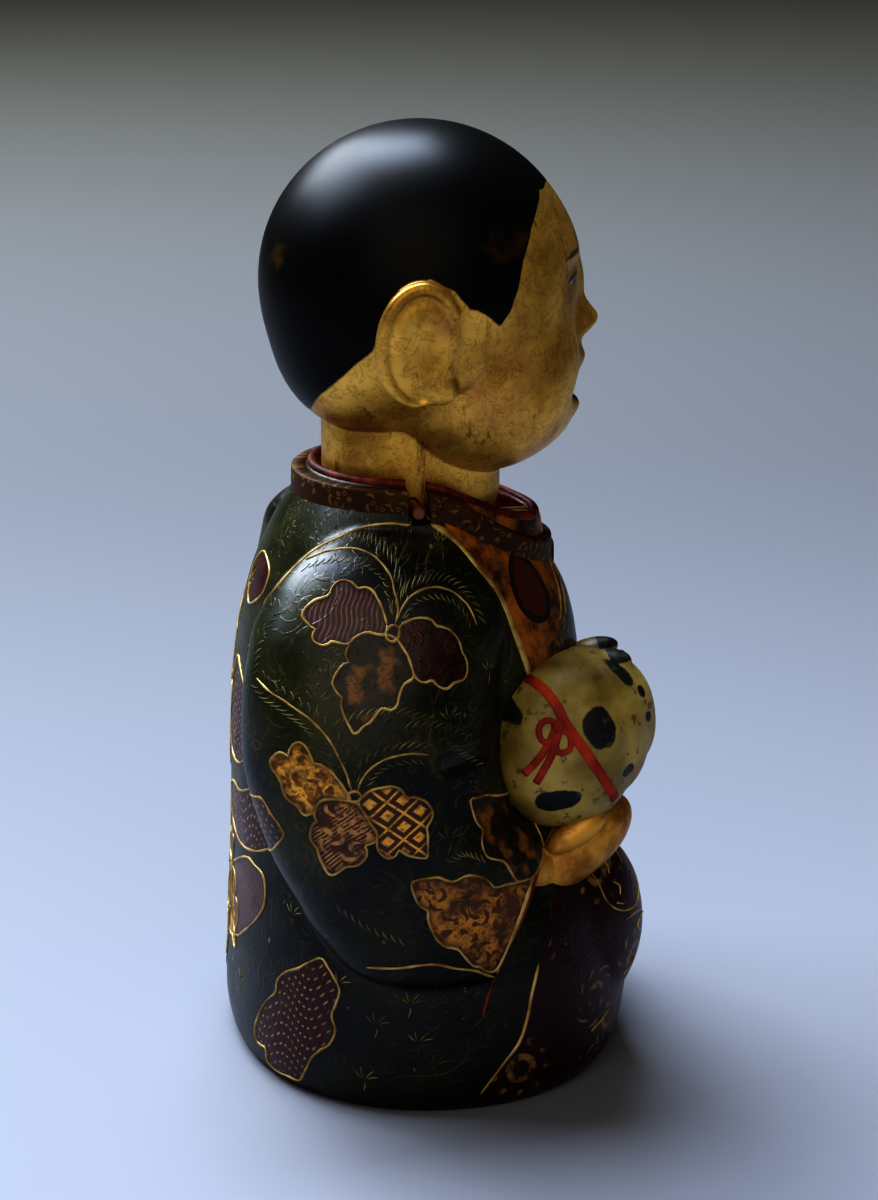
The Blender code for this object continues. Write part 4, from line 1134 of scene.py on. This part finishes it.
rings, steps = 150, 220
rises = np.pi * ((np.arange(rings) + 0.5) / rings - 0.5)
shares = 2 * np.pi * np.arange(steps) / steps
turns_round = shares - 0.5 * np.sin(shares) - np.pi / 2
grid_rise, grid_turn = np.meshgrid(rises, turns_round, indexing="ij")
ways = np.stack([np.cos(grid_rise) * np.cos(grid_turn), np.cos(grid_rise) * np.sin(grid_turn),
                 np.sin(grid_rise)], -1).reshape(-1, 3)
reach = sum(lobe_reach(ways, *lobe) ** 24.0 for lobe in SKULL_LOBES) ** (1 / 24.0)
skin_places = np.array(HEAD_HEART) + ways * reach[:, None]
facing = np.clip((-ways[:, 1] - 0.15) / 0.5, 0, 1)
facing = facing * facing * (3 - 2 * facing)
x_face, z_face = np.abs(skin_places[:, 0]), skin_places[:, 2]
carved = np.zeros(len(ways))
for amount, at_x, at_z, wide, tall in (
    (7.0, 0, 186.8, 4, 4.6), (2.0, 4.2, 184.6, 2.4, 2.6), (2.4, 0, 196, 3.4, 7), (1.0, 0, 207, 17, 10),
    (3.6, 0, 177.6, 8.5, 3.6), (-3.6, 0, 170.8, 7.5, 2.6), (3.0, 0, 165.4, 7.5, 3), (4.2, 0, 159, 10.5, 6.5),
    (-1.5, 12.5, 200.6, 8.5, 4), (1.0, 12.5, 200, 5, 2), (1.2, 19, 182, 9, 9), (-0.7, 12.5, 199, 5.2, 0.7),
    (-0.8, 0, 180.4, 1.5, 2.4), (-0.7, 3.2, 182.8, 1.2, 0.9), (0.5, 13, 206, 7, 1.6),
    (-1.0, 8.6, 171.4, 1.4, 1.6), (-1.6, 0, 171, 6, 1.2), (0.4, 0, 174.6, 6, 0.8), (0.4, 0, 167.4, 5, 0.9),
):
    carved += amount * np.exp(-(((x_face - at_x) / wide) ** 2) - ((z_face - at_z) / tall) ** 2)
skin_places[:, 1] -= carved * facing
rows = [[Vector(point) for point in ring] for ring in skin_places.reshape(rings, steps, 3)]
skull = loft("skull_form", rows)

EAR_CENTRE = Vector((-34.6, 7.0, 189.4))
EAR_LEAN = Matrix.Rotation(math.radians(-7.0), 3, "Y")
plate = egg(EAR_CENTRE, (3.4, 10.2, 15.4), (0, -7, 0))
helix_path = []
for share in np.linspace(0, 1, 17):
    turn = math.radians(152.0 - 258.0 * share)
    place = EAR_CENTRE + EAR_LEAN @ Vector((-1.8, 9.6 * math.cos(turn), 14.5 * math.sin(turn)))
    helix_path.append((*place, 0.7 + 1.0 * math.sin(math.pi * min(share + 0.06, 1.0)) ** 0.5))
helix = tube(helix_path)
on_ear = surface_of([plate, helix])
hollow = egg(EAR_CENTRE + EAR_LEAN @ Vector((-4.7, -1.2, 0.6)), (2.6, 9.8, 13.2), (0, -7, 0))
cut(plate, [hollow])
lobe = egg(EAR_CENTRE + EAR_LEAN @ Vector((-0.4, -4.8, -11.4)), (2.3, 5.0, 4.2), (0, -7, 0))
root = egg(EAR_CENTRE + EAR_LEAN @ Vector((2.7, -8.2, -3.4)), (3.6, 9.5, 10.5), (0, -7, 0))
rows = []
for height, share in ((124.0, 0.62), (127.0, 0.74), (138.0, 0.93), (146.0, 1.0), (158.0, 1.0), (172.0, 1.0)):
    rows.append([Vector((math.cos(turn) * 20.0 * share, 2.3 + math.sin(turn) * 22.5 * share, height))
                 for turn in np.linspace(0, 2 * math.pi, 120, endpoint=False)])
neck = loft("neck_form", rows)
head = fused("gilded_head", [skull, plate, helix, lobe, root, mirrored(plate), mirrored(helix),
                             mirrored(lobe), mirrored(root), neck], 0.56, 3)
bore = tube(((-40, PIN_Y, PIN_Z, 1.8), (0, PIN_Y, PIN_Z, 1.8), (40, PIN_Y, PIN_Z, 1.8)), spacing=20)
cut(head, [bore])

HEAD_ROUND = 36.0
spots = corners_of(head.data)
head_turn = np.degrees(np.arctan2(spots[:, 1] + 3.0, np.abs(spots[:, 0])))
flat_head = np.stack([np.radians(head_turn) * HEAD_ROUND, spots[:, 2]], 1)
HAIRLINE = ((-90, 223), (-70, 222.6), (-56, 221.8), (-46.6, 219.3), (-34.9, 214.4), (-28, 208), (-24, 201.2),
            (-20.3, 196.1), (-16.1, 193.2), (-11.5, 195.2), (-6.3, 197.4), (-3.1, 197.5), (2.8, 202.5),
            (12.2, 205.3), (22.4, 203.3), (27.6, 197.7), (29, 192.5), (34, 187.5), (45.6, 181), (55.8, 175.6),
            (72.1, 169.3), (90, 167), (100, 167), (100, 250), (-100, 250), (-100, 223))
hair = field(flat_head, spread(HAIRLINE) * np.array([HEAD_ROUND / ROUND, 1]))
hair = np.where(spots[:, 2] > 228, 5.0, hair)
for index in np.nonzero((np.abs(spots[:, 0]) > 26) & (np.abs(spots[:, 1] - 7) < 15)
                        & (np.abs(spots[:, 2] - 189) < 20))[0]:
    place = Vector((-abs(spots[index, 0]), spots[index, 1], spots[index, 2]))
    found = on_ear.find_nearest(place * MM, 0.004)
    if found[0] is not None:
        hair[index] = min(hair[index], found[3] / MM - 0.7)
paint(head.data, "hair", hair)
skin_finish = Finish("gilded_skin_and_black_hair", specular=0.20)
sx, sy, sz = skin_finish.split(skin_finish.place)[:3]
streaked = skin_finish.scaled(skin_finish.place, (1.0, 1.0, 0.22))
broad = skin_finish.noise(38.0, detail=4.0, rough=0.6)
skin_tone = skin_finish.mix(skin_finish.step(broad, 0.3, 0.7), (0.38, 0.20, 0.038), (0.86, 0.57, 0.155))
streaks = skin_finish.step(skin_finish.noise(190.0, vector=streaked, detail=5.0, rough=0.7), 0.58, 0.68)
skin_tone = skin_finish.mix(skin_finish.math("MULTIPLY", streaks, 0.55), skin_tone, (0.060, 0.026, 0.008))
bare = skin_finish.step(skin_finish.noise(34.0, detail=4.0, rough=0.6), 0.50, 0.66)
skin_tone = skin_finish.mix(skin_finish.math("MULTIPLY", bare, 0.55), skin_tone, (0.50, 0.25, 0.10))
crackle = skin_finish.math("SUBTRACT", 1.0, skin_finish.step(skin_finish.math("ABSOLUTE", skin_finish.math(
    "SUBTRACT", skin_finish.noise(210.0, detail=6.0, rough=0.7, twist=0.6), 0.5)), 0.004, 0.022))
skin_tone = skin_finish.mix(skin_finish.math("MULTIPLY", crackle, 0.42), skin_tone, (0.10, 0.045, 0.012))


def mark(at_x, at_z, wide, tall, slope=0.0, soft=0.25):
    """A painted oval on both halves of the face."""
    x = skin_finish.math("SUBTRACT", skin_finish.math("ABSOLUTE", skin_finish.math(
        "MULTIPLY", sx, 1000.0)), at_x)
    z = skin_finish.math("SUBTRACT", skin_finish.math("MULTIPLY", sz, 1000.0), at_z)
    z = skin_finish.math("SUBTRACT", z, skin_finish.math("MULTIPLY", skin_finish.math(
        "MULTIPLY", x, x), slope))
    reach_x = skin_finish.math("DIVIDE", x, wide)
    reach_z = skin_finish.math("DIVIDE", z, tall)
    far = skin_finish.math("ADD", skin_finish.math("MULTIPLY", reach_x, reach_x),
                           skin_finish.math("MULTIPLY", reach_z, reach_z))
    shape = skin_finish.math("SUBTRACT", 1.0, skin_finish.step(far, 1.0 - soft, 1.0 + soft))
    ahead = skin_finish.step(skin_finish.math("MULTIPLY", sy, -1000.0), 8.0, 14.0)
    return skin_finish.math("MULTIPLY", shape, ahead)


for place, colour, strength in (
    (mark(12.6, 199.4, 4.6, 1.1), (0.46, 0.40, 0.28), 0.7),
    (mark(12.6, 200.4, 6.0, 0.7, -0.020), (0.016, 0.012, 0.010), 0.95),
    (mark(12.2, 199.4, 1.7, 1.2), (0.012, 0.010, 0.010), 0.95),
    (mark(13.6, 206.2, 6.6, 0.8, -0.016, 0.5), (0.06, 0.04, 0.025), 0.8),
    (mark(0.0, 174.6, 7.2, 1.5, -0.02), (0.30, 0.045, 0.030), 0.8),
    (mark(0.0, 167.2, 6.2, 1.5, 0.02), (0.30, 0.045, 0.030), 0.8),
    (mark(0.0, 170.8, 8.4, 2.5), (0.022, 0.008, 0.008), 0.98),
    (mark(3.2, 182.8, 1.1, 0.8), (0.05, 0.025, 0.015), 0.8),
):
    skin_tone = skin_finish.mix(skin_finish.math("MULTIPLY", place, strength), skin_tone, colour)
hair_at = skin_finish.math("ADD", skin_finish.layer("hair"), skin_finish.math(
    "MULTIPLY", skin_finish.math("SUBTRACT", skin_finish.noise(120.0), 0.5), 1.6))
is_hair = skin_finish.step(hair_at, -0.3, 0.3)
lacquer = skin_finish.mix(skin_finish.step(skin_finish.noise(55.0, detail=3.0), 0.62, 0.78),
                          (0.005, 0.0045, 0.004), (0.070, 0.034, 0.008))
whole = skin_finish.mix(is_hair, skin_tone, lacquer)
skin_finish.feed(skin_finish.shader.inputs["Base Color"], whole)
skin_finish.feed(skin_finish.shader.inputs["Metallic"], skin_finish.math(
    "MULTIPLY", skin_finish.math("SUBTRACT", 1.0, is_hair), 0.70))
skin_finish.feed(skin_finish.shader.inputs["Roughness"], skin_finish.mix(
    is_hair, skin_finish.mix(broad, (0.27, 0.27, 0.27), (0.52, 0.52, 0.52)), (0.39, 0.39, 0.39)))
skin_relief = skin_finish.math("ADD", skin_finish.math("MULTIPLY", streaks, -0.5), broad)
skin_finish.bump(skin_finish.math("MULTIPLY", skin_relief, skin_finish.math(
    "SUBTRACT", 1.0, skin_finish.math("MULTIPLY", is_hair, 0.85))), 0.4, 0.0004)
head.data.materials.append(skin_finish.material)
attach(head, "head")
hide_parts("head")

# A plain wooden pin runs through the bored neck. Its ends lie loose in the collar's two notches, so
# that the head nods on it.
low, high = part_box("neck_pin")
pin_path = [(x, PIN_Y, PIN_Z, radius) for x, radius in (
    (low.x / MM, 1.15), (low.x / MM + 0.35, 1.5), (0, 1.5), (high.x / MM - 0.35, 1.5), (high.x / MM, 1.15))]
pin = loft("neck_pin_bar", [[Vector((x, y + radius * math.cos(turn), z + radius * math.sin(turn)))
                             for turn in np.linspace(0, 2 * math.pi, 40, endpoint=False)]
                            for x, y, z, radius in pin_path])
pin.data.set_sharp_from_angle(angle=math.radians(40))
pin_wood = Finish("reddish_pin_wood", roughness=0.55)
grain = pin_wood.noise(120.0, vector=pin_wood.scaled(pin_wood.place, (0.2, 3.0, 3.0)), detail=4.0)
pin_wood.feed(pin_wood.shader.inputs["Base Color"],
              pin_wood.mix(grain, (0.14, 0.040, 0.022), (0.33, 0.14, 0.08)))
pin.data.materials.append(pin_wood.material)
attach(pin, "head")
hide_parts("neck_pin")

# The doll stands on a pale sheet that runs up behind it, in soft cool light from a window on its upper left,
# behind its back.
# The sheet's colour carries painted light: lighter and bluer near the doll, darker further back.
sheet_rows = []
view_turn = math.radians(258.0)
back_way = Vector((-math.sin(view_turn), math.cos(view_turn), 0.0))
side_way = Vector((math.cos(view_turn), math.sin(view_turn), 0.0))
for step_back, rise in ((-1500, 0), (3200, 0), (3500, 20), (3750, 110), (3900, 300), (3960, 2600)):
    sheet_rows.append([back_way * step_back + side_way * out + Vector((0, 0, rise)) for out in (-3000, 3000)])
ground_sheet = loft("ground_sheet", sheet_rows, closed=False)
paper = Finish("pale_paper", roughness=0.75, specular=0.2)
paper_x, paper_y = paper.split(paper.place)[:2]
depth = paper.math("SUBTRACT", paper.math("MULTIPLY", paper_x, 0.978), paper.math("MULTIPLY", paper_y, 0.208))
# Painted light falloff: pale blue near the doll, darker grey further back, a warmer grey where the sheet
# rises behind.
near_painted_falloff = paper.mix(paper.step(depth, -0.35, 0.65), (0.255, 0.260, 0.292), (0.128, 0.128, 0.134))
paper.feed(paper.shader.inputs["Base Color"], paper.mix(paper.step(depth, 0.3, 2.6), near_painted_falloff,
                                                       (0.205, 0.192, 0.155)))
ground_sheet.data.materials.append(paper.material)

world = bpy.data.worlds.new("soft_room")
world.use_nodes = True
world.node_tree.nodes["Background"].inputs["Color"].default_value = (0.80, 0.77, 0.70, 1.0)
world.node_tree.nodes["Background"].inputs["Strength"].default_value = 0.10
bpy.context.scene.world = world


def window(name, place, aim, size, strength, colour):
    lamp = bpy.data.lights.new(name, "AREA")
    lamp.shape = "RECTANGLE"
    lamp.size, lamp.size_y = size
    lamp.energy = strength
    lamp.color = colour
    holder = bpy.data.objects.new(name, lamp)
    holder.location = place
    holder.rotation_euler = (Vector(aim) - Vector(place)).to_track_quat("-Z", "Y").to_euler()
    bpy.context.scene.collection.objects.link(holder)


window("window_light", (1.40, 0.66, 1.50), (0, 0, 0.12), (1.1, 1.1), 32.0, (0.82, 0.90, 1.0))
window("high_light", (0.50, 0.85, 1.38), (0, 0, 0.10), (0.9, 0.9), 20.0, (0.72, 0.83, 1.0))
window("roof_light", (0.54, 0.06, 1.50), (0, 0, 0.10), (0.7, 0.7), 25.0, (0.72, 0.83, 1.0))
window("room_fill", (-1.5, 0.3, 1.0), (0, 0, 0.12), (2.0, 2.0), 11.0, (1.0, 0.93, 0.84))
bpy.context.scene.view_settings.view_transform = "Standard"
bpy.context.scene.view_settings.look = "Very High Contrast"

lens = bpy.data.cameras.new("photo_camera")
lens.lens = 94.0
lens.sensor_width = 36.0
camera = bpy.data.objects.new("photo_camera", lens)
rise = math.radians(17.0)
away = Vector((math.sin(view_turn) * math.cos(rise), -math.cos(view_turn) * math.cos(rise), math.sin(rise)))
camera.location = Vector((0.0, -0.005, 0.115)) + away * 0.80
camera.rotation_euler = (-away).to_track_quat("-Z", "Y").to_euler()
bpy.context.scene.collection.objects.link(camera)
bpy.context.scene.camera = camera
